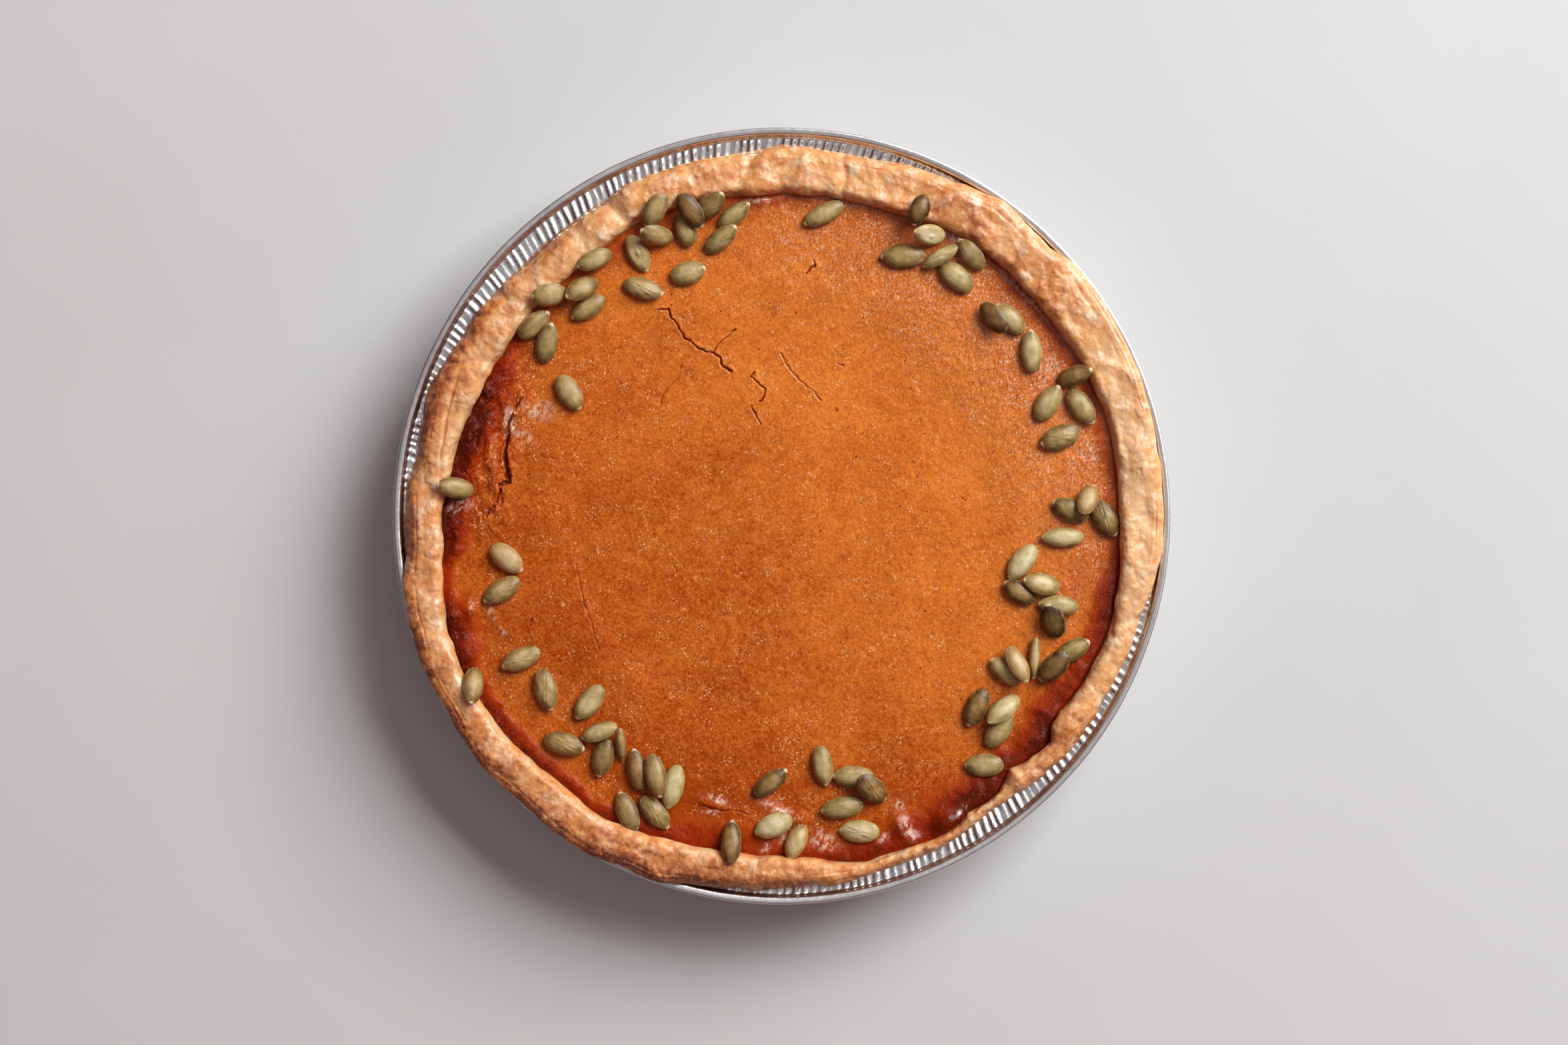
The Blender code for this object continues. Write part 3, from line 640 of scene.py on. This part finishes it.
def pastry_relief(angles, radii, heights):
    """Blisters, waves and creases of the baked crown, in millimetres out of its surface."""
    inner, outer, angles = inner_edge(angles)[:, None], outer_edge(angles)[:, None], angles[:, None]
    across = (radii - inner) / (outer - inner)
    s = angles / 360 * 720 + 0 * radii
    y = radii - 100 + 0.7 * (heights - 30)
    relief = 0.6 * lumps(s, y, 15, 51, 48) + 0.52 * lumps(s, y * 1.3, 7.2, 52, 100)
    relief += 0.42 * bubbles(s, y * 1.3, 5, 53, 144) + 0.13 * bubbles(s, y, 2.4, 54, 300)
    relief += 0.12 * lumps(s, y, 3, 58, 240) + 0.035 * lumps(s, y, 1.2, 55, 600)
    for place, slant, wide, depth in CREASES:
        sway = 1.2 * lumps(s, y, 5, 56, 144)
        away = ((angles - place - slant * across + 180) % 360 - 180) * 1.95 + sway
        relief -= depth * np.exp(-(away / wide) ** 2) * (0.4 + 0.6 * eased(across + 0.4))
    seam = lumps(s, y, 9, 57, 80)
    fold = np.exp(-((angles - 163.5) / 7.5) ** 4)
    way = 110.6 - 2.6 * (angles - 155) / 17 + 0.4 * lumps(s, y, 4, 59, 180)
    relief -= 0.8 * fold * np.exp(-((radii - way) / 0.45) ** 2)
    for gap, start in ((1.1, 0), (2.3, 2.1), (3.6, 4.4)):
        flaky = eased(np.sin(np.radians(angles) * 3 + start) * 0.7 + 0.25 + 0.6 * seam)
        line = np.exp(-((outer - radii - gap - 0.5 * seam) / 0.28) ** 2)
        relief -= 0.3 * line * flaky
    return relief


def make_pastry(material):
    angles = np.arange(PASTRY_STEPS) * 360 / PASTRY_STEPS
    radii, heights = pastry_sections(angles)
    turn = np.radians(angles)[:, None]
    relief = pastry_relief(angles, radii, heights)
    # The relief fades out where the crown meets the custard and the lip.
    columns = radii.shape[1]
    shown = np.zeros(columns)
    shown[:CROWN_COLUMNS] = 1
    shown[:3] = (0.2, 0.5, 0.8)
    shown[CROWN_COLUMNS - 3:CROWN_COLUMNS + 1] = (0.8, 0.6, 0.4, 0.2)
    along = np.roll(radii, -1, 1) - np.roll(radii, 1, 1)
    climb = np.roll(heights, -1, 1) - np.roll(heights, 1, 1)
    size = np.maximum(np.hypot(along, climb), 1e-6)
    radii -= climb / size * relief * shown
    heights += along / size * relief * shown
    points = np.stack([radii * np.cos(turn), radii * np.sin(turn), heights], 2).reshape(-1, 3)
    faces = []
    for i in range(PASTRY_STEPS):
        here, ahead = i * columns, (i + 1) % PASTRY_STEPS * columns
        for k in range(columns):
            m = (k + 1) % columns
            faces.append((here + k, here + m, ahead + m, ahead + k))
    piece = rework(new_piece("pastry_crust", points, faces, material))
    inner = inner_edge(angles)[:, None]
    across = (radii - inner) / (outer_edge(angles)[:, None] - inner)
    inside, top, outside = (around(BROWNING, angles, column)[:, None] for column in (1, 2, 3))
    brown = inside + (top - inside) * eased((across - 0.08) / 0.3)
    brown += (outside - top) * eased((across - 0.55) / 0.3)
    add_values(piece.data, "brown", brown)
    add_values(piece.data, "relief", relief)
    return piece


def crown_height(x, y):
    """The pastry's height at places near its crown, without relief, for what lies on it."""
    angles = angle_of(x, y)
    inner, outer = inner_edge(angles), outer_edge(angles)
    u = np.hypot(x, y) - inner
    return np.where(u > 0, crown(inner, outer, np.clip(u, 0, outer - inner), angles) + 0.3, 0)


# Seeds.

def seed_form(kind):
    """One seed a millimetre long and wide, lying flat, its tip at +X."""
    sides = 44
    turn = np.arange(sides) / sides * tau
    ahead = np.clip(np.cos(turn), 0, 1)
    near_tip = np.exp(-(((turn + pi) % tau - pi) / 0.22) ** 4)
    edge_x = 0.5 * np.cos(turn) * (1 + 0.055 * near_tip)
    edge_y = 0.5 * np.sign(np.sin(turn)) * np.abs(np.sin(turn)) ** 0.92 * (1 - 0.13 * ahead ** 3)
    levels = [(1, reach) for reach in (0.16, 0.32, 0.48, 0.62, 0.74, 0.83, 0.9, 0.95, 1)]
    levels += [(-1, reach) for reach in (0.9, 0.68, 0.36)]
    points = [(-0.02, 0, 0.5)]
    for side, reach in levels:
        dome = 0.5 * max(0, 1 - (reach / 0.96) ** 2) ** 0.62
        rim = 0.12 * (1 - reach ** 12) ** 0.5
        for px, py in zip(edge_x * reach, edge_y * reach):
            z = side * max(dome, rim)
            if kind == WAVY and side > 0:
                wave = sin(13 * px + 6 * py + 3 * sin(8 * py)) * sin(19 * py + 6 * px)
                z += 0.06 * wave * (1 - reach ** 4)
            if kind == FLAT and side > 0:
                z = min(z, 0.34 + 0.12 * py)
            points.append((px, py, z))
    points.append((-0.02, 0, -0.5))
    last = len(points) - 1
    steps = [(k, (k + 1) % sides) for k in range(sides)]
    faces = [(a + k, a + sides + k, a + sides + m, a + m)
             for a in range(1, last - sides, sides) for k, m in steps]
    for k, m in steps:
        faces += [(0, 1 + k, 1 + m), (last, last - sides + m, last - sides + k)]
    mesh = bpy.data.meshes.new("seed form")
    mesh.from_pydata(points, [], faces)
    mesh.shade_smooth()
    add_values(mesh, "grain", [(2 * x, 2 * y, copysign(1, z)) for x, y, z in points], "FLOAT_VECTOR")
    return bpy.data.objects.new(f"seed form {kind}", mesh)


class Ground:
    """A map of heights that seeds drop onto, one after the other."""

    STEP = 0.3
    HALF = 125
    WINDOW = 16
    LIE_LIMIT = 116

    def __init__(self):
        line = np.arange(-self.HALF, self.HALF, self.STEP)
        x, y = np.meshgrid(line, line, indexing="ij")
        radius = np.hypot(x, y)
        within = radius < self.LIE_LIMIT
        self.heights = np.where(within, np.maximum(custard_height(x, y), crown_height(x, y)), 0)
        self.heights[(radius > inner_edge(angle_of(x, y))) & within] += 0.2

    def drop(self, px, py, heading, length, width):
        """The middle height and the tilt in which a seed lies lowest."""
        span = int(self.WINDOW / self.STEP)
        low_i, low_j = (int((p - self.WINDOW / 2 + self.HALF) / self.STEP) for p in (px, py))
        window = self.heights[low_i:low_i + span, low_j:low_j + span]
        x, y = (np.arange(low, low + span) * self.STEP - self.HALF for low in (low_i, low_j))
        u, v = turned_to(x[:, None], y[None, :], px, py, heading)
        reach = np.hypot(u / (length / 2), v / (width / 2))
        under = reach < 1
        half_thick = SEED_THICKNESS / 2 * np.sqrt(np.clip(1 - reach ** 2.5, 0, 1))
        best = None
        for rise in np.radians(np.arange(-36, 37, 3)):
            for roll in np.radians(np.arange(-24, 25, 4)):
                plane = u * tan(rise) + v * tan(roll)
                lift = np.max((window + half_thick - plane)[under])
                cost = lift + 0.8 * (abs(rise) + abs(roll))
                if best is None or cost < best[0]:
                    best = (cost, lift, rise, roll, plane)
        _, lift, rise, roll, plane = best
        window[under] = np.maximum(window, lift + plane + half_thick)[under]
        return lift, rise, roll


def new_tree(name, sockets):
    """A node tree with named inputs, their values and their identifiers."""
    tree = bpy.data.node_groups.new(name, "GeometryNodeTree")
    made = [tree.interface.new_socket(label, in_out="INPUT", socket_type="NodeSocket" + kind)
            for label, kind in sockets]
    tree.interface.new_socket("Geometry", in_out="OUTPUT", socket_type="NodeSocketGeometry")
    entry = tree.nodes.new("NodeGroupInput")
    values = [Value(tree, socket) for socket in entry.outputs[:len(made)]]
    return tree, values, [socket.identifier for socket in made]


def end_tree(tree, shape, material):
    """End a tree in one real mesh with its material."""
    real = node(tree, "RealizeInstances", {0: shape})
    done = node(tree, "SetMaterial", {"Geometry": real, "Material": material})
    tree.links.new(done.socket, tree.nodes.new("NodeGroupOutput").inputs[0])


def seed_tree(forms, material):
    """Geometry Nodes that put a seed form on each point, turned and sized, and join them."""
    sockets = (("Geometry", "Geometry"), ("Thickness", "Float"))
    tree, (points, thickness), keys = new_tree("Lay seeds", sockets)

    def named(name, kind):
        return node(tree, "InputNamedAttribute", {"Name": name}, data_type=kind)

    pool = node(tree, "CollectionInfo", {
        "Collection": forms, "Separate Children": True, "Reset Children": True})
    scale = named("size", "FLOAT_VECTOR").vector("MULTIPLY", combined(tree, 1, 1, thickness))
    laid = node(tree, "InstanceOnPoints", {
        "Points": points, "Instance": pool, "Pick Instance": True, "Instance Index": named("kind", "INT"),
        "Rotation": named("turn", "FLOAT_VECTOR"), "Scale": scale})
    end_tree(tree, laid, material)
    return tree, keys[1]


def make_real(name, points, tree, inputs):
    """Run a tree on a mesh of loose points and keep the result as a plain mesh object."""
    start = new_object("start", points)
    modifier = start.modifiers.new("Make", "NODES")
    modifier.node_group = tree
    for identifier, value in inputs.items():
        modifier[identifier] = value
    start.update_tag()
    bpy.context.view_layer.update()
    mesh = bpy.data.meshes.new_from_object(start.evaluated_get(bpy.context.evaluated_depsgraph_get()))
    mesh.name = name
    bpy.data.objects.remove(start, do_unlink=True)
    return new_object(name, mesh)


def make_seeds(material):
    ground = Ground()
    forms = bpy.data.collections.new("Seed forms")
    for kind in (SMOOTH, WAVY, FLAT):
        forms.objects.link(seed_form(kind))
    points, rows = [], []
    for x, y, heading, length, width, tone, warm, *kind in SEEDS:
        lift, rise, roll = ground.drop(x, y, heading, length, width)
        turn = (Matrix.Rotation(radians(heading), 3, "Z") @ Matrix.Rotation(-rise, 3, "Y")
                @ Matrix.Rotation(roll, 3, "X"))
        thick = SEED_THICKNESS if width > EDGEWISE_WIDTH else EDGEWISE_THICKNESS
        points.append((x, y, lift - SEED_SINK))
        rows.append((tuple(turn.to_euler()), (length * MM, width * MM, thick * MM), tone / 100, warm / 100,
                     kind[0] if kind else SMOOTH))
    mesh = new_mesh("seed places", points)
    columns = (("turn", "FLOAT_VECTOR"), ("size", "FLOAT_VECTOR"), ("tone", "FLOAT"), ("warm", "FLOAT"),
               ("kind", "INT"))
    for (name, kind), values in zip(columns, zip(*rows)):
        add_values(mesh, name, values, kind)
    tree, thickness = seed_tree(forms, material)
    piece = make_real("pumpkin_seeds", mesh, tree, {thickness: 1.0})
    for form in list(forms.objects):
        bpy.data.objects.remove(form, do_unlink=True)
    bpy.data.collections.remove(forms)
    return piece


# Foil tin.

def tin_section():
    """The foil's closed section: inside from the middle out, over the bead and back below."""
    dished = 0.55
    inside = [(0, dished + FOIL), (60, dished + FOIL), (86, dished + FOIL), (88.5, FOIL), (93.6, FOIL)]
    outside = [(r + FOIL * 0.8, z - FOIL * 0.7) for r, z in reversed(FOIL_WALL[::2])]
    outside += [(93.8, 0), (88.3, 0), (85.8, dished), (0, dished)]
    return [*inside, *FOIL_WALL, *BEAD, *outside]


def tin_tree(material):
    """Geometry Nodes that turn a section round the tin's axis and pleat its wall."""
    sockets = (("Section", "Geometry"), ("Steps", "Int"), ("Rows", "Int"), ("Pleats", "Float"),
               ("Depth", "Float"))
    tree, (section, steps, rows, pleats, depth), keys = new_tree("Pleated tin", sockets)

    def ring_noise(place, shift, scale):
        inputs = {"Vector": place.vector("ADD", shift), "Scale": scale, "Detail": 1}
        return node(tree, "TexNoise", inputs) - 0.5

    grid = node(tree, "MeshGrid", {"Vertices X": steps + 1, "Vertices Y": rows})
    index = node(tree, "InputIndex")
    column = (index / rows).math("FLOOR")
    row = index - column * rows
    angle = column / steps * tau
    here = node(tree, "InputPosition")
    sample = node(tree, "SampleIndex", {"Geometry": section, "Value": here, "Index": row},
                  data_type="FLOAT_VECTOR", domain="POINT")
    radius, _, height = sample.parts()
    east, north = angle.math("COSINE"), angle.math("SINE")
    ahead = combined(tree, east, north, 0)
    out = radius / MM - STEP_RADIUS
    drift = ring_noise(ahead, (0, 0, 0), 11) * 9
    slant = out * (0.62 + ring_noise(ahead, (4, 2, 7), 20) * 1.2)
    wave = (angle * pleats + drift + slant).math("COSINE") * 0.5 + 0.5
    cluster = ring_noise(ahead, (9, 5, 1), 17).ease(-0.13, 0.1, 0.35, 1)
    fade = (height / MM).ease(1.5, 6) * (1 - out.ease(4.8, 5.2))
    crumpled = combined(tree, east * 40, north * 40, out * 0.35)
    crumple = ring_noise(crumpled, (1, 1, 1), 1.5)
    pleat = (wave.math("POWER", 1.6) * cluster * depth + crumple * 0.0005) * fade
    sag = ring_noise(ahead, (2, 8, 3), 3.5).math("ABSOLUTE") * out.ease(4, 6) * 0.0006
    lifted = combined(tree, 0, 0, height + pleat * 0.76)
    place = ahead.vector("SCALE", radius - pleat * 0.65 - sag).vector("ADD", lifted)
    moved = node(tree, "SetPosition", {"Geometry": grid, "Position": place})
    merged = node(tree, "MergeByDistance", {"Geometry": moved, "Distance": 1e-5})
    end_tree(tree, node(tree, "SetShadeSmooth", {"Geometry": merged}), material)
    return tree, keys[1:]


def make_tin(material):
    section = tin_section()
    mesh = new_mesh("tin section", [(r, 0, z) for r, z in section])
    tree, keys = tin_tree(material)
    values = (TIN_STEPS, len(section), float(PLEATS), PLEAT_DEPTH * MM)
    piece = make_real("foil_tin", mesh, tree, dict(zip(keys, values)))
    return rework(piece, lambda form: bmesh.ops.dissolve_degenerate(form, dist=1e-7, edges=form.edges))


# Finishes.

def foil_finish():
    f = Finish("Foil", Metallic=1, IOR=1.45)
    x, y, _ = f.place.parts()
    radius = (x * x + y * y).math("SQRT")
    bead = radius.ease(119.6, 120.4)
    knurl = (y.math("ARCTAN2", x) * 900).math("SINE") * 0.5 + 0.5
    scratch = f.noise(0.6, 3)
    cloud = f.noise(7)
    roughness = cloud * 0.12 + 0.22 + bead * 0.08
    # Painted shade: the bead is darker on the side away from the window, as a painted reflection of the
    # shadowed table, with a brown line just inside it.
    bead_painted_shade = radius.ease(119.7, 120.4) * (0 - x * 0.95 - y * 0.1).ease(50, 112)
    # Painted shade: the dark line, dotted along the knurl, lies in the groove just inside the bead.
    line = radius.ease(119, 119.3) * (1 - radius.ease(119.5, 119.9))
    tint = f.layers(
        f.mix(cloud, (0.83, 0.82, 0.82), (0.95, 0.94, 0.93)),
        (bead_painted_shade * 0.6, (0.42, 0.36, 0.36)),
        (line * (knurl.ease(0.2, 0.8) * 0.35 + 0.35), (0.3, 0.2, 0.2)))
    relief = knurl * bead * 0.006 + scratch * 0.012 + f.noise(3, 1) * 0.1
    return f.set(Base_Color=tint, Roughness=roughness, Normal=f.bump(relief))


def pastry_finish():
    f = Finish("Baked pastry", IOR=1.5, Coat_Roughness=0.22, Coat_IOR=1.6, Subsurface_Weight=0.55,
               Subsurface_Scale=3 * MM, Subsurface_Radius=(1, 0.5, 0.3))
    brown, relief = f.attribute("brown"), f.attribute("relief")
    patch = f.noise(9)
    spot = f.noise(4.2, 3, 0.6)
    fleck = f.noise(1.7, 3, 0.6)
    grain = f.noise(0.5, 2, 0.6)
    blister = f.noise(4.6).ease(0.44, 0.7)
    swell = f.noise(3.6, 1, 0.4).ease(0.4, 0.68)
    # The blisters are subtracted so that their tops are painted paler than the hollows: painted highlight.
    uneven = (patch - 0.5) * 1.1 + (spot - 0.5) * 1.1 + (fleck - 0.5) * 1.1 + relief * 0.15 - blister * 0.12
    toasted = (brown + uneven * (brown * 0.9 + 0.38)).clamped()
    shades = ((0.9, 0.54, 0.27), (0.88, 0.41, 0.145), (0.75, 0.26, 0.062), (0.49, 0.11, 0.017),
              (0.2, 0.03, 0.005))
    baked = ramp(f.tree, toasted, (0, 0.25, 0.5, 0.75, 1), shades)
    glaze = f.noise(6).ease(0.36, 0.58) * 0.46
    # Painted highlight: the glazed blister tops are painted a pale cream, less where the pastry is more
    # toasted.
    painted_highlight = (blister * 0.8 + swell * 0.3) * glaze * (1.2 - toasted * 1.4)
    colour = f.layers(
        baked, ((grain - 0.4).clamped() * 0.7, (0.92, 0.66, 0.4)), (painted_highlight.clamped(), (1, 0.84, 0.65)))
    roughness = 0.38 - toasted * 0.05 + grain * 0.1
    bump = grain * 0.02 + fleck * 0.09 + spot * 0.3 + patch * 0.8 + blister * 0.36 + swell * 0.26
    return f.set(Base_Color=colour, Roughness=roughness, Normal=f.bump(bump, 0.9), Coat_Weight=glaze)


def custard_finish():
    f = Finish("Set custard", IOR=1.22, Coat_Roughness=0.15, Coat_IOR=1.58)
    scorch_and_shade, crack, wet_and_painted_shine = f.attribute("scorch_and_shade"), f.attribute("crack"), f.attribute("wet_and_painted_shine")
    x, y, _ = f.place.parts()
    radius = (x * x + y * y).math("SQRT")
    # Painted light: the custard's colour grows paler toward the window along this gradient, which also sets
    # some gloss.
    side = (x * 0.77 + y * 0.64).ease(-85, 60)
    open_skin = 1 - scorch_and_shade.ease(0.08, 0.3)
    lit = (x * 0.72 + y * 0.69).ease(28, 86) * radius.ease(45, 85) * (open_skin * 0.8 + 0.2)
    mottle = f.noise(3, 3, 0.6)
    fine = f.noise(0.9, 3, 0.6)
    skin = f.noise(2.2, 3, 0.65)
    # Puckered folds beside the long crack.
    waver = f.noise(6, 1) * 5
    folds = f.noise(1, place=combined(f.tree, radius / 1.8 + waver, y * 0.28, 0))
    folded = radius.ease(83, 89) * (0 - x).ease(66, 86) * (y + 14).ease(0, 14)
    # Painted light: paler toward the window. Painted shade: the edge a little darker, except on the far
    # side, where it is painted lighter.
    shade = radius.ease(72, 98) * ((0 - x).ease(20, 80) * 0.34 - 0.2)
    blend = side * 0.54 + shade + (f.noise(26) - 0.5) * 0.7 + (mottle - 0.5) * 0.7
    blend = blend + (fine - 0.5) * 1.5 + 0.19
    # Spice: specks, dust and soft smudges.
    size = f.noise(3.6, 2, 0.6)
    speck = (size * 0.7 - 0.28 - f.cells(2.4)).ease(0, 0.06)
    dust = (size * 0.5 + 0.04 - f.cells(0.9)).ease(0, 0.14)
    smudge = f.noise(5, 3, 0.6).ease(0.6, 0.8)
    # The puckered folds are painted browner, and darker in their hollows as painted shade.
    uneven = scorch_and_shade + (mottle - 0.5) * 0.4 + (skin - 0.5) * 0.5 + folded * (0.78 - folds) * 0.8
    # Painted light: the tops of the scorched lumps are painted lighter, leaving their hollows darker as
    # painted shade.
    painted_lit_tops = scorch_and_shade.ease(0.15, 0.5) * skin.ease(0.56, 0.72)
    # Painted glints: pale dots everywhere and dashes, painted sheen strokes toward the window, painted
    # shine broken over the wet patches, and pale crumbs on the folds that are partly painted glints.
    turned = node(f.tree, "VectorRotate", {"Vector": f.place, "Angle": -1.05}, rotation_type="Z_AXIS")
    stretched = turned.vector("MULTIPLY", (0.65, 1.35, 1))
    broken = f.noise(0.7).ease(0.44, 0.6)
    cluster = f.noise(4.5, 2, 0.6).ease(0.42, 0.66)
    glint_dots = (cluster * 0.3 + 0.13 - f.cells(0.8)).ease(-0.02, 0.12) * broken * open_skin
    glint_dash_size = f.noise(4).ease(0.46, 0.74) * 0.26 + (fine - 0.5) * 0.9 * 0.3
    glint_dashes = (glint_dash_size - f.cells(1.5, place=stretched)).ease(-0.02, 0.12) * open_skin
    painted_sheen_strokes = (1 - f.cells(0.8, place=stretched).ease(0.14, 0.58)) * broken * (cluster * 0.5 + 0.5) * lit
    painted_shine = wet_and_painted_shine.ease(0.2, 0.9) * f.noise(1.5, 3, 0.6, place=stretched).ease(0.44, 0.6)
    crumbs_and_glints = folded * open_skin * (1 - f.cells(1.3).ease(0.16, 0.42)) * fine.ease(0.42, 0.58)
    colour = f.layers(
        f.mix(blend.clamped(), (0.4, 0.052, 0.001), (0.92, 0.255, 0.034)),
        (smudge * 0.45, (0.36, 0.045, 0.002)),
        (dust * 0.36, (0.3, 0.034, 0.002)),
        (speck * 0.85, (0.1, 0.01, 0.002)),
        # Scorch colours; from 0° to about 140° they lay painted shade along the pastry.
        (uneven.ease(0.04, 0.3) * 0.9, (0.44, 0.057, 0.003)),
        (uneven.ease(0.25, 0.65) * 0.95, (0.32, 0.022, 0.0008)),
        (uneven.ease(0.56, 1.08) * 0.95, (0.085, 0.005, 0.0005)),
        (painted_lit_tops * 0.4, (0.56, 0.075, 0.008)),
        # Painted shade: the cracks are darkened in colour.
        (crack.ease(0.15, 0.9) * 0.95, (0.2, 0.016, 0.003)),
        # Painted glints, painted sheen and painted shine, in pale colours.
        ((glint_dots * 0.8 + glint_dashes * 0.9 + crumbs_and_glints * 0.4).clamped(), (0.97, 0.54, 0.27)),
        ((painted_sheen_strokes + painted_shine * 0.6).clamped(), (0.98, 0.64, 0.48)))
    satin = f.noise(1.1, place=stretched)
    pits = (1 - f.cells(3.1).ease(0.04, 0.11)) * f.noise(3.1, 1).ease(0.5, 0.56)
    relief = mottle * 0.4 + fine * 0.14 + satin * (lit * 0.6 + 0.1) + glint_dashes * 0.08 - pits * 0.16
    relief = relief + skin * scorch_and_shade.ease(0.05, 0.5) * 0.65 + folds * folded * 1.1 + wet_and_painted_shine * satin * 0.4
    roughness = (0.22 + fine * 0.1 + crack * 0.3).clamped()
    gloss = (side * 0.22 + lit * 0.78 + wet_and_painted_shine * 0.8 + painted_lit_tops * 0.25).clamped()
    return f.set(Base_Color=colour, Roughness=roughness, Normal=f.bump(relief, 0.9), Coat_Weight=gloss)


def seed_finish():
    f = Finish("Pumpkin seed skin", IOR=1.46)
    tone, warm = f.attribute("tone"), f.attribute("warm")
    grain_place = f.attribute("grain", out=1)
    along, aside, _ = grain_place.parts()
    edge = (along * along + aside * aside).math("SQRT")
    # Each seed reads its own stretch of the veins.
    stretched = grain_place.vector("MULTIPLY", (0.9, 2.4, 1))
    veins = stretched.vector("ADD", combined(f.tree, tone * 91, warm * 57, 0))
    streak = f.noise(0.55, 3, 0.6, place=veins)
    cloud = f.noise(3.2)
    # Painted shade: the seeds grow darker toward their edges, which rounds them.
    level = tone + (streak - 0.5) * 0.26 + (cloud - 0.5) * 0.55 + 0.1 - edge.ease(0.35, 0.98) * 0.28
    greens = ((0.045, 0.026, 0.005), (0.185, 0.125, 0.03), (0.42, 0.325, 0.118), (0.66, 0.56, 0.29),
              (0.8, 0.72, 0.48))
    browns = ((0.08, 0.028, 0.01), (0.27, 0.125, 0.04), (0.52, 0.3, 0.115), (0.74, 0.53, 0.28),
            (0.84, 0.68, 0.45))
    green, brown = (ramp(f.tree, level.clamped(), (0, 0.3, 0.6, 0.85, 1), c) for c in (greens, browns))
    rim = edge.ease(0.88, 0.96) * streak.ease(0.4, 0.6) * 0.45
    tip = (along + (streak - 0.5) * 0.1).ease(0.89, 0.99)
    colour = f.layers(
        f.mix((warm + (cloud - 0.5) * 0.7 + 0.2).clamped(), green, brown),
        (rim, (0.56, 0.44, 0.19)), (tip * 0.9, (0.88, 0.66, 0.38)))
    relief = streak * 0.06 + f.noise(1.6) * 0.2
    return f.set(Base_Color=colour, Roughness=0.33 + streak * 0.12, Normal=f.bump(relief, 0.8))


def floor_finish():
    f = Finish("Pale table", IOR=1.45)
    cloud = f.noise(90, 3)
    colour = f.mix(cloud, (0.7, 0.69, 0.685), (0.75, 0.745, 0.74))
    return f.set(Base_Color=colour, Roughness=cloud * 0.12 + 0.42)


# Table, lights and camera.

def add_floor(material):
    bpy.ops.mesh.primitive_plane_add(size=6, location=(0, 0, -0.0002))
    floor = bpy.context.object
    floor.name = "table"
    floor.data.materials.append(material)


def add_window(azimuth, elevation, distance, size, energy, colour):
    """A soft square window that lights the pie from one side."""
    light = bpy.data.lights.new("Window", "AREA")
    light.size = size
    light.energy = energy
    light.color = colour
    lamp = new_object("Window", light)
    a, e = radians(azimuth), radians(elevation)
    lamp.location = (distance * cos(e) * cos(a), distance * cos(e) * sin(a),
                     distance * sin(e))
    toward = Vector((0, 0, 0.03)) - lamp.location
    lamp.rotation_euler = toward.to_track_quat("-Z", "Y").to_euler()


def set_world():
    """A dim warm room with a bright band of ceiling round the camera."""
    world = bpy.data.worlds.new("Room")
    bpy.context.scene.world = world
    world.use_nodes = True
    tree = world.node_tree
    east, north, up = node(tree, "TexCoord").parts()
    dim, bright, overhead = (0.09, 0.03, 0.033), (0.44, 0.43, 0.43), (0.09, 0.08, 0.08)
    sky = ramp(tree, up, (0, 0.84, 0.89, 0.965, 0.985), (dim, dim, bright, bright, overhead))
    toward = (east * 0.94 + north * 0.34).ease(-0.36, 0.36) * 0.5 + 0.88
    tree.links.new(sky.socket, tree.nodes["Background"].inputs["Color"])
    tree.links.new(toward.socket, tree.nodes["Background"].inputs["Strength"])


def add_camera():
    """A camera straight over the pie that shows a width of the table, in metres, at the rim's height."""
    shown = 0.4917
    camera = bpy.data.cameras.new("Camera")
    camera.lens = 68
    camera.sensor_width = 36
    eye = new_object("Camera", camera)
    eye.location = (0.0007, -0.0021, 0.03 + shown * camera.lens / camera.sensor_width)
    bpy.context.scene.camera = eye


def dress():
    bpy.context.scene.view_settings.view_transform = "Standard"
    tin = make_tin(foil_finish())
    pastry = make_pastry(pastry_finish())
    custard = make_custard(custard_finish())
    seeds = make_seeds(seed_finish())
    seed_nodes = [name for name in frame["nodes"] if name.startswith("seed")]
    for piece, slot, stands_for in ((tin, "tin", ["tin"]), (pastry, "crust", ["crust"]),
                                    (custard, "filling", ["filling"]), (seeds, "seed", seed_nodes)):
        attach(piece, "root")
        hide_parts(*stands_for)
    add_floor(floor_finish())
    add_window(azimuth=43, elevation=38.5, distance=2.4, size=1.5, energy=77, colour=(0.95, 1, 0.99))
    set_world()
    add_camera()


dress()
